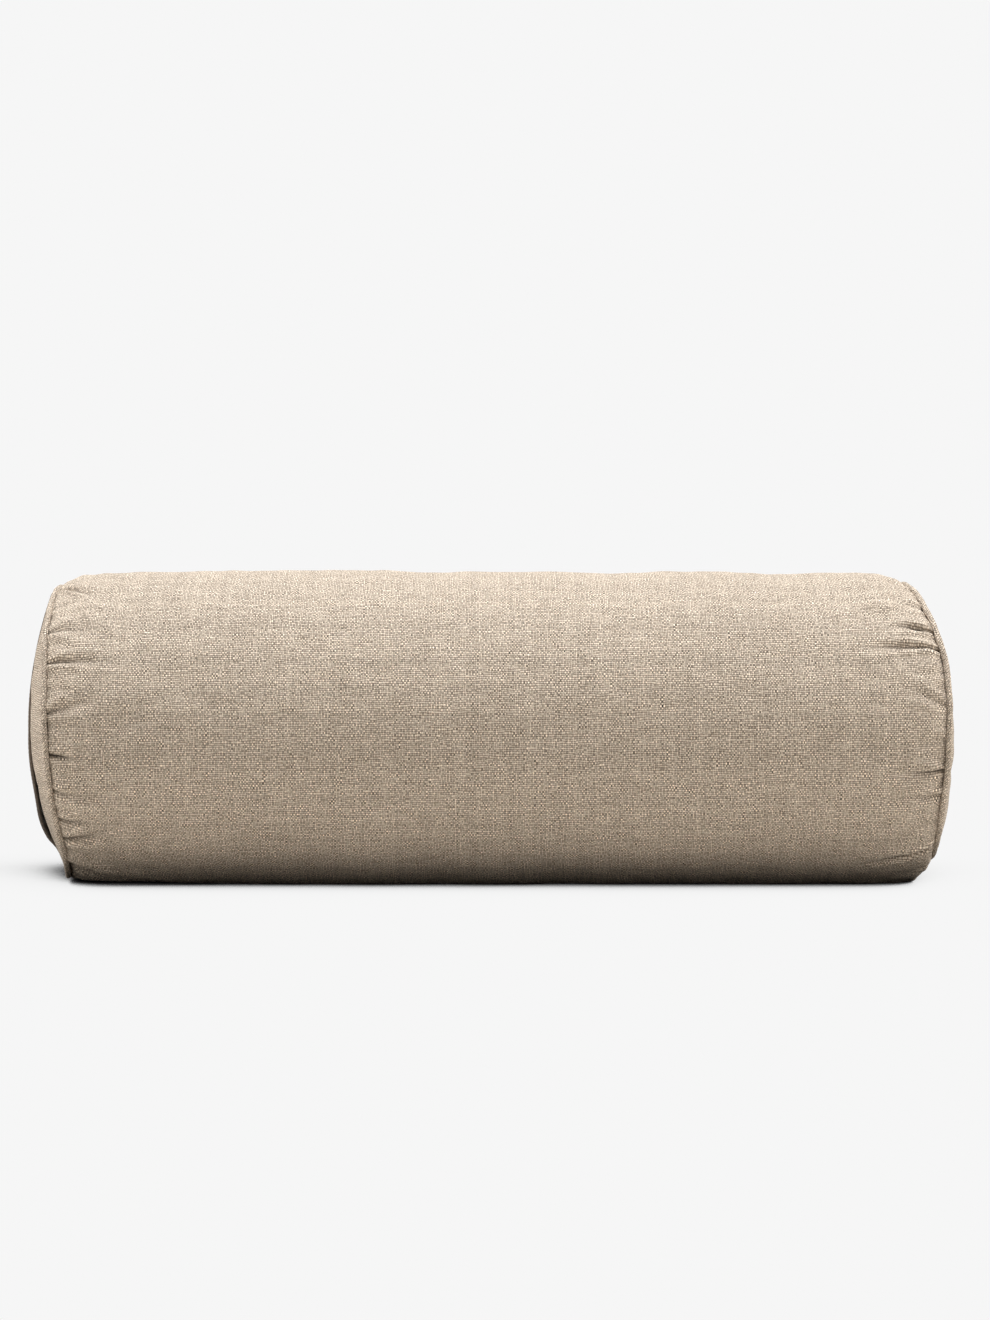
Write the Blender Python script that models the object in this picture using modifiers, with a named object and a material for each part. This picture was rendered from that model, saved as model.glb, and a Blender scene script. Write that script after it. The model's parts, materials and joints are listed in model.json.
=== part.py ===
"""Round bolster pillow: a removable linen cover with piped end seams, a zip along the back and a
webbing handle on one end, around a cotton liner packed with loose filling.

Metres, +Z up. The barrel lies along X and rests on Z = 0, with the origin under its middle. The
handle is on the -X end panel and the zip runs along the +Y side.
"""

import math

import bmesh
import bpy
from mathutils import Matrix, Vector

# ---- driving dimensions ------------------------------------------------------------------------
RADIUS = 0.111                  # barrel, middle of its length
AXIS_HEIGHT = 0.105             # barrel axis above the floor, so the underside is pressed flat
SEAM_HALF = 0.295               # middle of the barrel to the plane of each end seam
SEAM_RADIUS = 0.1005            # where the barrel edge meets the end panel
PANEL_BULGE = 0.0235            # crown of an end panel over its rim
SEGMENTS = 48                   # facets round the barrel

SHOULDER_DROP = 0.009           # quick rounding of the barrel next to a seam
SHOULDER_LENGTH = 0.008
TAPER_DROP = 0.0015             # slow taper of the barrel towards a seam
TAPER_LENGTH = 0.030

COVER_THICKNESS = 0.0010        # linen
LINER_THICKNESS = 0.0006        # cotton lining
CLEARANCE = 0.0004              # between neighbouring layers
LINER_SETBACK = 0.0042          # liner barrel edge, back from the seam plane
LINER_RIM_RADIUS = 0.0985

PIPING_RADIUS = 0.0020          # outside of the piping
PIPING_CENTRE_RADIUS = 0.1026   # circle that the piping cord follows
PIPING_TAPE_THICKNESS = 0.0005
PIPING_CORD_RADIUS = 0.0011
PIPING_LEG_REACH = 0.0062       # seam allowance, inward from the cord
PIPING_LEG_SPACING = 0.0008     # between the middles of the two legs
BARREL_SEAM_GAP = 0.00105       # barrel edge to the seam plane
PANEL_SEAM_GAP = 0.0019         # panel rim to the seam plane

ZIP_TILT = math.radians(15)     # zip's outward direction above +Y
ZIP_SLOT_LENGTH = 0.500
ZIP_SLOT_WIDTH = 0.0110
ZIP_TAPE_LENGTH = 0.520
ZIP_TAPE_WIDTH = 0.0120
ZIP_TAPE_THICKNESS = 0.0006
ZIP_TAPE_TOP = -0.0013          # heights are from the cover's flat, outward positive
ZIP_ROW_GAP = 0.0010            # between the two coil rows
ZIP_ROW_WIDTH = 0.0022
ZIP_ROW_LOW = -0.0010
ZIP_ROW_HIGH = 0.0006
ZIP_ROW_HALF = 0.2460           # middle to the end of the coil rows
ZIP_STOP_LENGTH = 0.0020
ZIP_STOP_GAP = 0.0003
LINER_ZIP_DEPTH = 0.0040        # liner's flat behind the zip

SLIDER_LENGTH = 0.0090
SLIDER_HALF_WIDTH = 0.0043
SLIDER_FLANGE = 0.0012
SLIDER_PLATE = 0.0009
SLIDER_TOP = 0.0018
SLIDER_LOW = -0.0031
SLIDER_SLOT_LOW = -0.0022       # tapes pass between these two heights
SLIDER_SLOT_HIGH = -0.0010
SLIDER_WEB = 0.0004             # wedge between the two coil rows
SLIDER_REST_X = -0.2395
BAIL_EYE_RADIUS = 0.0012
BAIL_WALL = 0.0009
BAIL_WIDTH = 0.0014
BAIL_SUNK = 0.0003              # bail's feet into the top plate
PULL_LENGTH = 0.0240
PULL_HALF_WIDTH = 0.0032
PULL_THICKNESS = 0.0009
PULL_BAR = 0.0010               # bar that sits in the bail's eye
PULL_WINDOW_LENGTH = 0.0052
PULL_WINDOW_HALF_WIDTH = 0.0016

STRAP_WIDTH = 0.030
STRAP_THICKNESS = 0.0018
STRAP_REACH = 0.0975            # webbing's sewn end, from the panel's centre
STRAP_TACK = 0.0800             # bar tack, from the panel's centre
STRAP_LIFT_OFF = 0.0006         # webbing to panel where it lies flat
STRAP_SLACK = 0.0075            # webbing to panel where its slack hangs
STRAP_SLACK_AT = -0.058         # height of the slack under the panel's centre
STRAP_SLACK_LENGTH = 0.020
STRAP_CUT = 0.0002              # half the gap between the sewn ends and the free webbing

WELD = 0.000001

PARTS = "bolster_pillow"
CUTTERS = "cutters"


# ---- scene and materials -----------------------------------------------------------------------
def start_empty():
    for obj in list(bpy.data.objects):
        bpy.data.objects.remove(obj, do_unlink=True)
    for name in (PARTS, CUTTERS):
        collection = bpy.data.collections.get(name)
        if collection is None:
            collection = bpy.data.collections.new(name)
            bpy.context.scene.collection.children.link(collection)


def material(name, colour, roughness, metallic=0.0):
    made = bpy.data.materials.get(name) or bpy.data.materials.new(name)
    made.use_nodes = True
    shader = made.node_tree.nodes["Principled BSDF"]
    shader.inputs["Base Color"].default_value = (*colour, 1.0)
    shader.inputs["Roughness"].default_value = roughness
    shader.inputs["Metallic"].default_value = metallic
    return made


def linen():
    return material("linen", (0.50, 0.41, 0.31), 0.92)


def cotton():
    return material("cotton_lining", (0.80, 0.77, 0.70), 0.90)


def cord_cotton():
    return material("cord", (0.84, 0.82, 0.77), 0.90)


def hulls():
    return material("hulls", (0.34, 0.24, 0.15), 0.80)


def webbing():
    return material("webbing", (0.060, 0.056, 0.054), 0.85)


def zip_fabric():
    return material("zip_tape", (0.46, 0.38, 0.29), 0.85)


def zip_coil():
    return material("zip_coil", (0.40, 0.33, 0.25), 0.45)


def zip_metal():
    return material("zip_metal", (0.42, 0.40, 0.37), 0.35, 0.9)


# ---- making and placing objects ----------------------------------------------------------------
def add_object(name, data, look, parent=None, collection=PARTS):
    obj = bpy.data.objects.new(name, data)
    if data.materials:
        data.materials[0] = look
    else:
        data.materials.append(look)
    bpy.data.collections[collection].objects.link(obj)
    obj.parent = parent
    return obj


def add_empty(name, location, rotation=(0.0, 0.0, 0.0), parent=None):
    empty = bpy.data.objects.new(name, None)
    empty.empty_display_size = 0.01
    empty.location = location
    empty.rotation_euler = rotation
    empty.parent = parent
    bpy.data.collections[PARTS].objects.link(empty)
    return empty


def baked_mesh(obj):
    """The evaluated mesh of an object, which is removed, with doubled points welded."""
    bpy.context.view_layer.update()
    depsgraph = bpy.context.evaluated_depsgraph_get()
    mesh = bpy.data.meshes.new_from_object(obj.evaluated_get(depsgraph))
    mesh.transform(obj.matrix_world)
    bpy.data.objects.remove(obj, do_unlink=True)
    bm = bmesh.new()
    bm.from_mesh(mesh)
    bmesh.ops.remove_doubles(bm, verts=bm.verts, dist=WELD)
    bm.to_mesh(mesh)
    bm.free()
    return mesh


def smooth(mesh, angle=35):
    mesh.shade_smooth()
    mesh.set_sharp_from_angle(angle=math.radians(angle))


def turned_mesh(profile, closed=False):
    """A profile of (along, radius) points turned about the barrel's axis.

    The profile starts at its +X end. Facet middles, not corners, point straight down.
    """
    mesh = bpy.data.meshes.new("profile")
    last = len(profile) - 1
    edges = [(i, i + 1) for i in range(last)]
    if closed:
        edges.append((last, 0))
    mesh.from_pydata([(radius, 0.0, along) for along, radius in profile], edges, [])
    obj = bpy.data.objects.new("profile", mesh)
    bpy.data.collections[CUTTERS].objects.link(obj)
    screw = obj.modifiers.new("turn", "SCREW")
    screw.axis = "Z"
    screw.angle = 2.0 * math.pi
    screw.steps = SEGMENTS
    screw.render_steps = SEGMENTS
    screw.use_merge_vertices = True
    screw.merge_threshold = WELD
    obj.rotation_euler = (0.0, math.radians(90), 0.0)
    turned = baked_mesh(obj)
    half_facet = Matrix.Rotation(math.pi / SEGMENTS, 4, "X")
    turned.transform(Matrix.Translation((0.0, 0.0, AXIS_HEIGHT)) @ half_facet)
    return turned


def press_flat(mesh, point, outward):
    """Moves the points that lie beyond a plane back onto it, along its normal."""
    point = Vector(point)
    outward = Vector(outward)
    for vertex in mesh.vertices:
        beyond = (vertex.co - point).dot(outward)
        if beyond > 0.0:
            vertex.co -= beyond * outward


def thicken(obj, thickness):
    """Solidify inward from the surface as built."""
    solid = obj.modifiers.new("thickness", "SOLIDIFY")
    solid.thickness = thickness
    solid.offset = -1.0
    solid.use_even_offset = True
    return solid


def cut(target, cutter):
    cutter.hide_render = True
    cutter.display_type = "WIRE"
    boolean = target.modifiers.new("cut_" + cutter.name, "BOOLEAN")
    boolean.operation = "DIFFERENCE"
    boolean.object = cutter


def box_mesh(low, high):
    bm = bmesh.new()
    bmesh.ops.create_cube(bm, size=1.0)
    size = Vector(high) - Vector(low)
    middle = (Vector(high) + Vector(low)) / 2.0
    bmesh.ops.scale(bm, vec=size, verts=bm.verts)
    bmesh.ops.translate(bm, vec=middle, verts=bm.verts)
    mesh = bpy.data.meshes.new("box")
    bm.to_mesh(mesh)
    bm.free()
    return mesh


def flat_outline_mesh(outlines, thickness):
    """A flat plate from closed 2D outlines in local XY, half its thickness each way in Z."""
    curve = bpy.data.curves.new("outline", "CURVE")
    curve.dimensions = "2D"
    curve.fill_mode = "BOTH"
    curve.extrude = thickness / 2.0
    for outline in outlines:
        spline = curve.splines.new("POLY")
        spline.points.add(len(outline) - 1)
        for point, (x, y) in zip(spline.points, outline):
            point.co = (x, y, 0.0, 1.0)
        spline.use_cyclic_u = True
    obj = bpy.data.objects.new("outline", curve)
    bpy.data.collections[CUTTERS].objects.link(obj)
    return baked_mesh(obj)


def turn_end_for_end(mesh):
    """Carries a +X end piece to the -X end."""
    mesh.transform(Matrix.Rotation(math.pi, 4, "Z"))


# ---- shape of the pillow -----------------------------------------------------------------------
def barrel_radius(from_seam):
    quick = SHOULDER_DROP * math.exp(-from_seam / SHOULDER_LENGTH)
    slow = TAPER_DROP * math.exp(-from_seam / TAPER_LENGTH)
    return RADIUS - quick - slow


def barrel_profile(setback, inset, rim_radius=None):
    """Half-profile stations near one seam, mirrored to the other, from +X to -X."""
    stations = [0.0, 0.005, 0.015, SEAM_HALF - ZIP_TAPE_LENGTH / 2.0, 0.120]
    half = []
    for station in stations:
        radius = barrel_radius(station) - inset
        half.append((SEAM_HALF - setback - station, radius))
    if rim_radius is not None:
        half[0] = (half[0][0], rim_radius)
    return half + [(-along, radius) for along, radius in reversed(half)]


def panel_crown():
    """Middle of the barrel to the highest point of an end panel."""
    return SEAM_HALF + PANEL_SEAM_GAP + PANEL_BULGE


def domed(rim_along, crown_along, share):
    """Place along the barrel of a dome's surface, at a share of its rim's radius."""
    return crown_along - (crown_along - rim_along) * share * share


def dome_profile(rim_along, rim_radius, crown_along):
    """From the crown of a dome out to its rim."""
    shares = [0.0, 0.35, 0.65, 0.88, 1.0]
    return [(domed(rim_along, crown_along, share), share * rim_radius) for share in shares]


def floor_plane(inset):
    return (0.0, 0.0, inset), (0.0, 0.0, -1.0)


def zip_flat_distance():
    """Barrel axis to the cover's flat at the zip, which takes in three facets along the tapes."""
    radius_at_tape_end = barrel_radius(SEAM_HALF - ZIP_TAPE_LENGTH / 2.0)
    return radius_at_tape_end * math.cos(3.0 * math.pi / SEGMENTS)


def zip_outward():
    return Vector((0.0, math.cos(ZIP_TILT), math.sin(ZIP_TILT)))


def zip_plane(depth):
    axis = Vector((0.0, 0.0, AXIS_HEIGHT))
    return axis + (zip_flat_distance() - depth) * zip_outward(), zip_outward()


# ---- cover -------------------------------------------------------------------------------------
def build_cover_barrel(zip_frame):
    mesh = turned_mesh(barrel_profile(BARREL_SEAM_GAP, 0.0))
    press_flat(mesh, *floor_plane(0.0))
    press_flat(mesh, *zip_plane(0.0))
    smooth(mesh)
    cover = add_object("cover_barrel", mesh, linen())
    thicken(cover, COVER_THICKNESS)
    low = (-ZIP_SLOT_LENGTH / 2.0, -ZIP_SLOT_WIDTH / 2.0, -3.0 * COVER_THICKNESS)
    high = (ZIP_SLOT_LENGTH / 2.0, ZIP_SLOT_WIDTH / 2.0, 3.0 * COVER_THICKNESS)
    slot = add_object("zip_slot", box_mesh(low, high), linen(), zip_frame, CUTTERS)
    cut(cover, slot)


def build_end_panel(name, at_minus_x):
    mesh = turned_mesh(dome_profile(SEAM_HALF + PANEL_SEAM_GAP, SEAM_RADIUS, panel_crown()))
    if at_minus_x:
        turn_end_for_end(mesh)
    smooth(mesh)
    panel = add_object(name, mesh, linen())
    thicken(panel, COVER_THICKNESS)


def build_piping_tape(name, at_minus_x):
    """Strip folded round the cord, its two legs running inward into the seam."""
    middle_radius = PIPING_RADIUS - PIPING_TAPE_THICKNESS / 2.0
    half_slit = math.asin(PIPING_LEG_SPACING / 2.0 / middle_radius)
    sides = 6
    profile = []
    for step in range(sides + 1):
        turn = half_slit + step * (2.0 * math.pi - 2.0 * half_slit) / sides
        along = SEAM_HALF + middle_radius * math.sin(turn)
        profile.append((along, PIPING_CENTRE_RADIUS - middle_radius * math.cos(turn)))
    leg_radius = PIPING_CENTRE_RADIUS - PIPING_LEG_REACH
    profile.insert(0, (profile[0][0], leg_radius))
    profile.append((profile[-1][0], leg_radius))
    mesh = turned_mesh(profile)
    if at_minus_x:
        turn_end_for_end(mesh)
    smooth(mesh)
    tape = add_object(name, mesh, linen())
    thicken(tape, PIPING_TAPE_THICKNESS).offset = 0.0


def build_piping_cord(name, at_minus_x):
    sides = 6
    profile = []
    for step in range(sides):
        turn = step * 2.0 * math.pi / sides
        along = SEAM_HALF + PIPING_CORD_RADIUS * math.sin(turn)
        profile.append((along, PIPING_CENTRE_RADIUS - PIPING_CORD_RADIUS * math.cos(turn)))
    mesh = turned_mesh(profile, closed=True)
    if at_minus_x:
        turn_end_for_end(mesh)
    smooth(mesh)
    add_object(name, mesh, cord_cotton())


# ---- liner and filling -------------------------------------------------------------------------
def build_liner_barrel():
    inset = COVER_THICKNESS + CLEARANCE
    mesh = turned_mesh(barrel_profile(LINER_SETBACK, inset, LINER_RIM_RADIUS))
    press_flat(mesh, *floor_plane(inset))
    press_flat(mesh, *zip_plane(LINER_ZIP_DEPTH))
    smooth(mesh)
    thicken(add_object("liner_barrel", mesh, cotton()), LINER_THICKNESS)


def build_liner_end(name, at_minus_x):
    rim = SEAM_HALF - LINER_SETBACK + LINER_THICKNESS + CLEARANCE
    crown = panel_crown() - COVER_THICKNESS - CLEARANCE
    mesh = turned_mesh(dome_profile(rim, LINER_RIM_RADIUS, crown))
    if at_minus_x:
        turn_end_for_end(mesh)
    smooth(mesh)
    thicken(add_object(name, mesh, cotton()), LINER_THICKNESS)


def build_filling():
    inset = COVER_THICKNESS + LINER_THICKNESS + 2.0 * CLEARANCE
    depth = LINER_ZIP_DEPTH + LINER_THICKNESS + CLEARANCE
    rim_radius = LINER_RIM_RADIUS - LINER_THICKNESS - CLEARANCE
    setback = LINER_SETBACK + LINER_THICKNESS
    barrel = barrel_profile(setback, inset, rim_radius)
    end = dome_profile(SEAM_HALF - setback, rim_radius, panel_crown() - inset)[:-1]
    profile = end + barrel + [(-along, radius) for along, radius in reversed(end)]
    mesh = turned_mesh(profile)
    press_flat(mesh, *floor_plane(inset))
    press_flat(mesh, *zip_plane(depth))
    smooth(mesh)
    add_object("filling", mesh, hulls())


# ---- zip ---------------------------------------------------------------------------------------
def add_zip_box(name, look, parent, low, high):
    add_object(name, box_mesh(low, high), look, parent)


def build_zip_rows(zip_frame):
    """Tapes, coil rows and top stops. Local +Y points down the back of the barrel."""
    half_gap = ZIP_ROW_GAP / 2.0
    tape_half = ZIP_TAPE_LENGTH / 2.0
    tape_low = ZIP_TAPE_TOP - ZIP_TAPE_THICKNESS
    for side, label in ((-1.0, "upper"), (1.0, "lower")):
        def span(inner, outer):
            return min(side * inner, side * outer), max(side * inner, side * outer)

        near, far = span(half_gap, half_gap + ZIP_TAPE_WIDTH)
        add_zip_box("zip_tape_" + label, zip_fabric(), zip_frame,
                    (-tape_half, near, tape_low), (tape_half, far, ZIP_TAPE_TOP))
        near, far = span(half_gap, half_gap + ZIP_ROW_WIDTH)
        add_zip_box("zip_teeth_" + label, zip_coil(), zip_frame,
                    (-ZIP_ROW_HALF, near, ZIP_ROW_LOW), (ZIP_ROW_HALF, far, ZIP_ROW_HIGH))
        stop_high = -ZIP_ROW_HALF - ZIP_STOP_GAP
        add_zip_box("zip_top_stop_" + label, zip_metal(), zip_frame,
                    (stop_high - ZIP_STOP_LENGTH, near, ZIP_ROW_LOW),
                    (stop_high, far, ZIP_ROW_HIGH))


def build_zip_bottom_stop(zip_frame):
    half_width = ZIP_ROW_GAP / 2.0 + ZIP_ROW_WIDTH
    low_x = ZIP_ROW_HALF + ZIP_STOP_GAP
    add_zip_box("zip_bottom_stop", zip_metal(), zip_frame,
                (low_x, -half_width, ZIP_ROW_LOW),
                (low_x + ZIP_STOP_LENGTH, half_width, ZIP_ROW_HIGH))


def slider_section():
    """Across the slider: top plate with flanges, thin web, bottom plate with a tape slot each side."""
    half = [
        (SLIDER_HALF_WIDTH, SLIDER_TOP),
        (SLIDER_HALF_WIDTH, SLIDER_SLOT_HIGH),
        (SLIDER_HALF_WIDTH - SLIDER_FLANGE, SLIDER_SLOT_HIGH),
        (SLIDER_HALF_WIDTH - SLIDER_FLANGE, SLIDER_TOP - SLIDER_PLATE),
        (SLIDER_WEB / 2.0, SLIDER_TOP - SLIDER_PLATE),
        (SLIDER_WEB / 2.0, SLIDER_SLOT_LOW),
        (SLIDER_HALF_WIDTH, SLIDER_SLOT_LOW),
        (SLIDER_HALF_WIDTH, SLIDER_LOW),
    ]
    return half + [(-across, up) for across, up in reversed(half)]


def stand_section_up(mesh):
    """Local XY outline of (across, up) points, turned to run along X."""
    mesh.transform(Matrix(((0, 0, 1, 0), (1, 0, 0, 0), (0, 1, 0, 0), (0, 0, 0, 1))))


def bail_height():
    """Middle of the bail's eye above the cover's flat."""
    return SLIDER_TOP + BAIL_EYE_RADIUS


def arch_outline(radius, foot):
    """Half circle on two short legs, as (along, up) points about the eye's middle."""
    steps = 8
    arc = []
    for step in range(steps + 1):
        turn = math.pi * step / steps
        arc.append((radius * math.cos(turn), radius * math.sin(turn)))
    return [(radius, -foot)] + arc + [(-radius, -foot)]


def build_zip_slider(slider_frame):
    body = flat_outline_mesh([slider_section()], SLIDER_LENGTH)
    stand_section_up(body)
    slider = add_object("zip_slider", body, zip_metal(), slider_frame)

    foot = BAIL_EYE_RADIUS + BAIL_SUNK
    outer = arch_outline(BAIL_EYE_RADIUS + BAIL_WALL, foot)
    inner = arch_outline(BAIL_EYE_RADIUS, foot)
    arch = flat_outline_mesh([outer + list(reversed(inner))], BAIL_WIDTH)
    stand = Matrix(((1, 0, 0, 0), (0, 0, -1, 0), (0, 1, 0, 0), (0, 0, 0, 1)))
    arch.transform(Matrix.Translation((0.0, 0.0, bail_height())) @ stand)
    bail = add_object("bail", arch, zip_metal(), slider_frame, CUTTERS)
    bail.hide_render = True
    bail.display_type = "WIRE"
    union = slider.modifiers.new("bail", "BOOLEAN")
    union.operation = "UNION"
    union.object = bail


def build_pull_tab(pull_frame):
    """Flat tab with a window: its end bar sits in the bail's eye, on the joint's axis."""
    start = -PULL_BAR / 2.0
    end = start + PULL_LENGTH
    nose = 0.45 * PULL_HALF_WIDTH
    outer = [
        (start, -PULL_HALF_WIDTH + nose),
        (start, PULL_HALF_WIDTH - nose),
        (start + nose, PULL_HALF_WIDTH),
        (end - PULL_HALF_WIDTH, PULL_HALF_WIDTH),
    ]
    steps = 6
    for step in range(1, steps):
        turn = math.pi / 2.0 - math.pi * step / steps
        outer.append((end - PULL_HALF_WIDTH * (1.0 - math.cos(turn)),
                      PULL_HALF_WIDTH * math.sin(turn)))
    outer.append((end - PULL_HALF_WIDTH, -PULL_HALF_WIDTH))
    outer.append((start + nose, -PULL_HALF_WIDTH))
    near = PULL_BAR / 2.0
    far = near + PULL_WINDOW_LENGTH
    window = [
        (near, -PULL_WINDOW_HALF_WIDTH),
        (far, -PULL_WINDOW_HALF_WIDTH),
        (far, PULL_WINDOW_HALF_WIDTH),
        (near, PULL_WINDOW_HALF_WIDTH),
    ]
    mesh = flat_outline_mesh([outer, window], PULL_THICKNESS)
    add_object("zip_pull_tab", mesh, zip_metal(), pull_frame)


def build_zip():
    point, _ = zip_plane(0.0)
    zip_frame = add_empty("zip_frame", point, (ZIP_TILT - math.pi / 2.0, 0.0, 0.0))
    build_zip_rows(zip_frame)
    build_zip_bottom_stop(zip_frame)
    slider_frame = add_empty("slider_frame", (SLIDER_REST_X, 0.0, 0.0), parent=zip_frame)
    build_zip_slider(slider_frame)
    pull_frame = add_empty("pull_frame", (0.0, 0.0, bail_height()), parent=slider_frame)
    build_pull_tab(pull_frame)
    return zip_frame


# ---- handle ------------------------------------------------------------------------------------
def strap_stand_off(up):
    """Webbing to panel, at a height over the panel's centre."""
    away = (up - STRAP_SLACK_AT) / STRAP_SLACK_LENGTH
    hump = math.exp(-away * away)
    return STRAP_LIFT_OFF + (STRAP_SLACK - STRAP_LIFT_OFF) * hump


def strap_outline(low, high, steps):
    """Side view of a length of webbing, as (along, up) points about the panel's centre."""
    inner = []
    outer = []
    for step in range(steps + 1):
        up = low + (high - low) * step / steps
        panel = domed(SEAM_HALF + PANEL_SEAM_GAP, panel_crown(), up / SEAM_RADIUS)
        along = panel + strap_stand_off(up)
        inner.append((-along, up))
        outer.append((-along - STRAP_THICKNESS, up))
    return outer + list(reversed(inner))


def build_handle_piece(name, low, high, steps, handle_frame):
    mesh = flat_outline_mesh([strap_outline(low, high, steps)], STRAP_WIDTH)
    mesh.transform(Matrix.Rotation(math.pi / 2.0, 4, "X"))
    add_object(name, mesh, webbing(), handle_frame)


def build_handle():
    handle_frame = add_empty("handle_frame", (0.0, 0.0, AXIS_HEIGHT))
    build_handle_piece("handle_end_upper", STRAP_TACK + STRAP_CUT, STRAP_REACH, 2, handle_frame)
    build_handle_piece("handle_strap", -STRAP_TACK + STRAP_CUT, STRAP_TACK - STRAP_CUT, 20,
                       handle_frame)
    build_handle_piece("handle_end_lower", -STRAP_REACH, -STRAP_TACK - STRAP_CUT, 2, handle_frame)


def build_bolster_pillow():
    start_empty()
    zip_frame = build_zip()
    build_cover_barrel(zip_frame)
    for side, at_minus_x in (("left", True), ("right", False)):
        build_end_panel("end_panel_" + side, at_minus_x)
        build_piping_tape("piping_tape_" + side, at_minus_x)
        build_piping_cord("piping_cord_" + side, at_minus_x)
        build_liner_end("liner_end_" + side, at_minus_x)
    build_liner_barrel()
    build_filling()
    build_handle()


build_bolster_pillow()
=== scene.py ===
"""Looks of the bolster pillow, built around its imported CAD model.

The linen cover, its piping, the liner and the webbing are soft, so each gets its own formed mesh in
place of the plain CAD solid. Lengths are in metres. Angles round the barrel are measured at its axis
from the front (-Y) upward, so 90 degrees is the top and -90 the floor.
"""

import json
import math

import bmesh
import bpy
import numpy as np
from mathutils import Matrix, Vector


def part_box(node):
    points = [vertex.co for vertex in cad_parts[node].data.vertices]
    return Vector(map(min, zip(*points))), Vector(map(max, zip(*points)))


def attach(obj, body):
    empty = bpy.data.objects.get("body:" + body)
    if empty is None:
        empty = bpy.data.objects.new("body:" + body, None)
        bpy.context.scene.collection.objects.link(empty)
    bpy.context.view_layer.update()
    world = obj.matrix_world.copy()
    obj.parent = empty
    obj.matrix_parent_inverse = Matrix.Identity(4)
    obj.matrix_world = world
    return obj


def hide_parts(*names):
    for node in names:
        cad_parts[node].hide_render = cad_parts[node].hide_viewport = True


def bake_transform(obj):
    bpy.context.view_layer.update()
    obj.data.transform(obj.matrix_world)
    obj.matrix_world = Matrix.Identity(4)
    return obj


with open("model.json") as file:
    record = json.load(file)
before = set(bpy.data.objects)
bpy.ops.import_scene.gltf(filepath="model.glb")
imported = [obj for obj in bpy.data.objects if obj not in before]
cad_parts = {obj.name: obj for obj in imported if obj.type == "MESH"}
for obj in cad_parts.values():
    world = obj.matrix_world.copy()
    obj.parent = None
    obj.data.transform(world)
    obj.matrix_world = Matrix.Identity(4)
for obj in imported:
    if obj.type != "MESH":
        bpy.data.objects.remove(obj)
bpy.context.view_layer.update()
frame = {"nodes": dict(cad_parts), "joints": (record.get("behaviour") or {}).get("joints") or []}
MM = 0.001

# ==== Measures taken from the frame ====
PIPING_LOW, PIPING_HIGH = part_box("piping_tape_right")
COVER_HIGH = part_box("cover_barrel")[1]
PANEL_LOW, PANEL_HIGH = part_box("end_panel_right")
SEAM_HALF = (PIPING_LOW.x + PIPING_HIGH.x) / 2.0
AXIS_HEIGHT = (PIPING_LOW.z + PIPING_HIGH.z) / 2.0
PIPING_RADIUS = 2.0 * MM
RING_RADIUS = (PIPING_HIGH.z - PIPING_LOW.z) / 2.0 - PIPING_RADIUS
BARREL_RADIUS = COVER_HIGH.z - AXIS_HEIGHT - 0.8 * MM
PANEL_RADIUS = (PANEL_HIGH.z - PANEL_LOW.z) / 2.0
PANEL_CROWN = PANEL_HIGH.x

PULL_JOINT = next(joint for joint in frame["joints"] if joint["name"] == "pull_tab_swing")
ZIP_UP = Vector(PULL_JOINT["axis"]).normalized()
ZIP_OUT = Vector((1.0, 0.0, 0.0)).cross(-ZIP_UP)
PULL_HEIGHT = 3.0 * MM          # pull tab's pivot above the cover's flat at the zip
AXIS_POINT = Vector((0.0, 0.0, AXIS_HEIGHT))
ZIP_FLAT = (Vector(PULL_JOINT["pos_m"]) - AXIS_POINT).dot(ZIP_OUT) - PULL_HEIGHT
ZIP_ANGLE = math.pi - math.atan2(ZIP_OUT.z, ZIP_OUT.y)
SLOT_HALF_LENGTH = 250.0 * MM
SLOT_HALF_WIDTH = 5.5 * MM

# ==== The weave ====
YARN_ROUND = 1.06 * MM          # spacing of the yarns that run round the barrel
YARN_ALONG = 1.42 * MM          # spacing of the yarns that run along it


# ==== Number helpers ====
def smoothstep(low, high, value):
    t = np.clip((value - low) / (high - low), 0.0, 1.0)
    return t * t * (3.0 - 2.0 * t)


def soft_least(values, softness):
    """The least of several arrays, rounded where two of them cross."""
    stack = np.stack(np.broadcast_arrays(*values))
    least = stack.min(axis=0)
    total = np.exp(-(stack - least) / softness).sum(axis=0)
    return least - softness * np.log(total)


def waves(seed, count, along, around, wavelengths, amplitude, wrapped=True):
    """A smooth random field from sine waves. Where wrapped, around is an angle and the field closes."""
    rng = np.random.default_rng(seed)
    field = np.zeros(np.broadcast(along, around).shape)
    for _ in range(count):
        length = math.exp(rng.uniform(math.log(wavelengths[0]), math.log(wavelengths[1])))
        direction = rng.uniform(0.0, math.tau)
        rate = math.tau / length * math.cos(direction)
        turns = math.tau / length * math.sin(direction)
        if wrapped:
            turns = round(turns * BARREL_RADIUS)
        field = field + np.sin(rate * along + turns * around + rng.uniform(0.0, math.tau))
    return amplitude * field * math.sqrt(2.0 / count)


def turned_gap(angle, centre):
    """Signed angle from a centre, in -pi..pi."""
    return (angle - centre + math.pi) % (math.tau) - math.pi


def cloth_gap(angle, centre):
    """Distance in mm round the cover from a centre angle."""
    return BARREL_RADIUS / MM * turned_gap(angle, centre)


def bell(value, width):
    """1 at zero, falling off on both sides."""
    return np.exp(-(value / width) ** 2)


def near_angle(angle, degrees, spread):
    """1 at a place round the barrel, falling off on both sides. Place and spread are in degrees."""
    return bell(turned_gap(angle, math.radians(degrees)), math.radians(spread))


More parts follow.
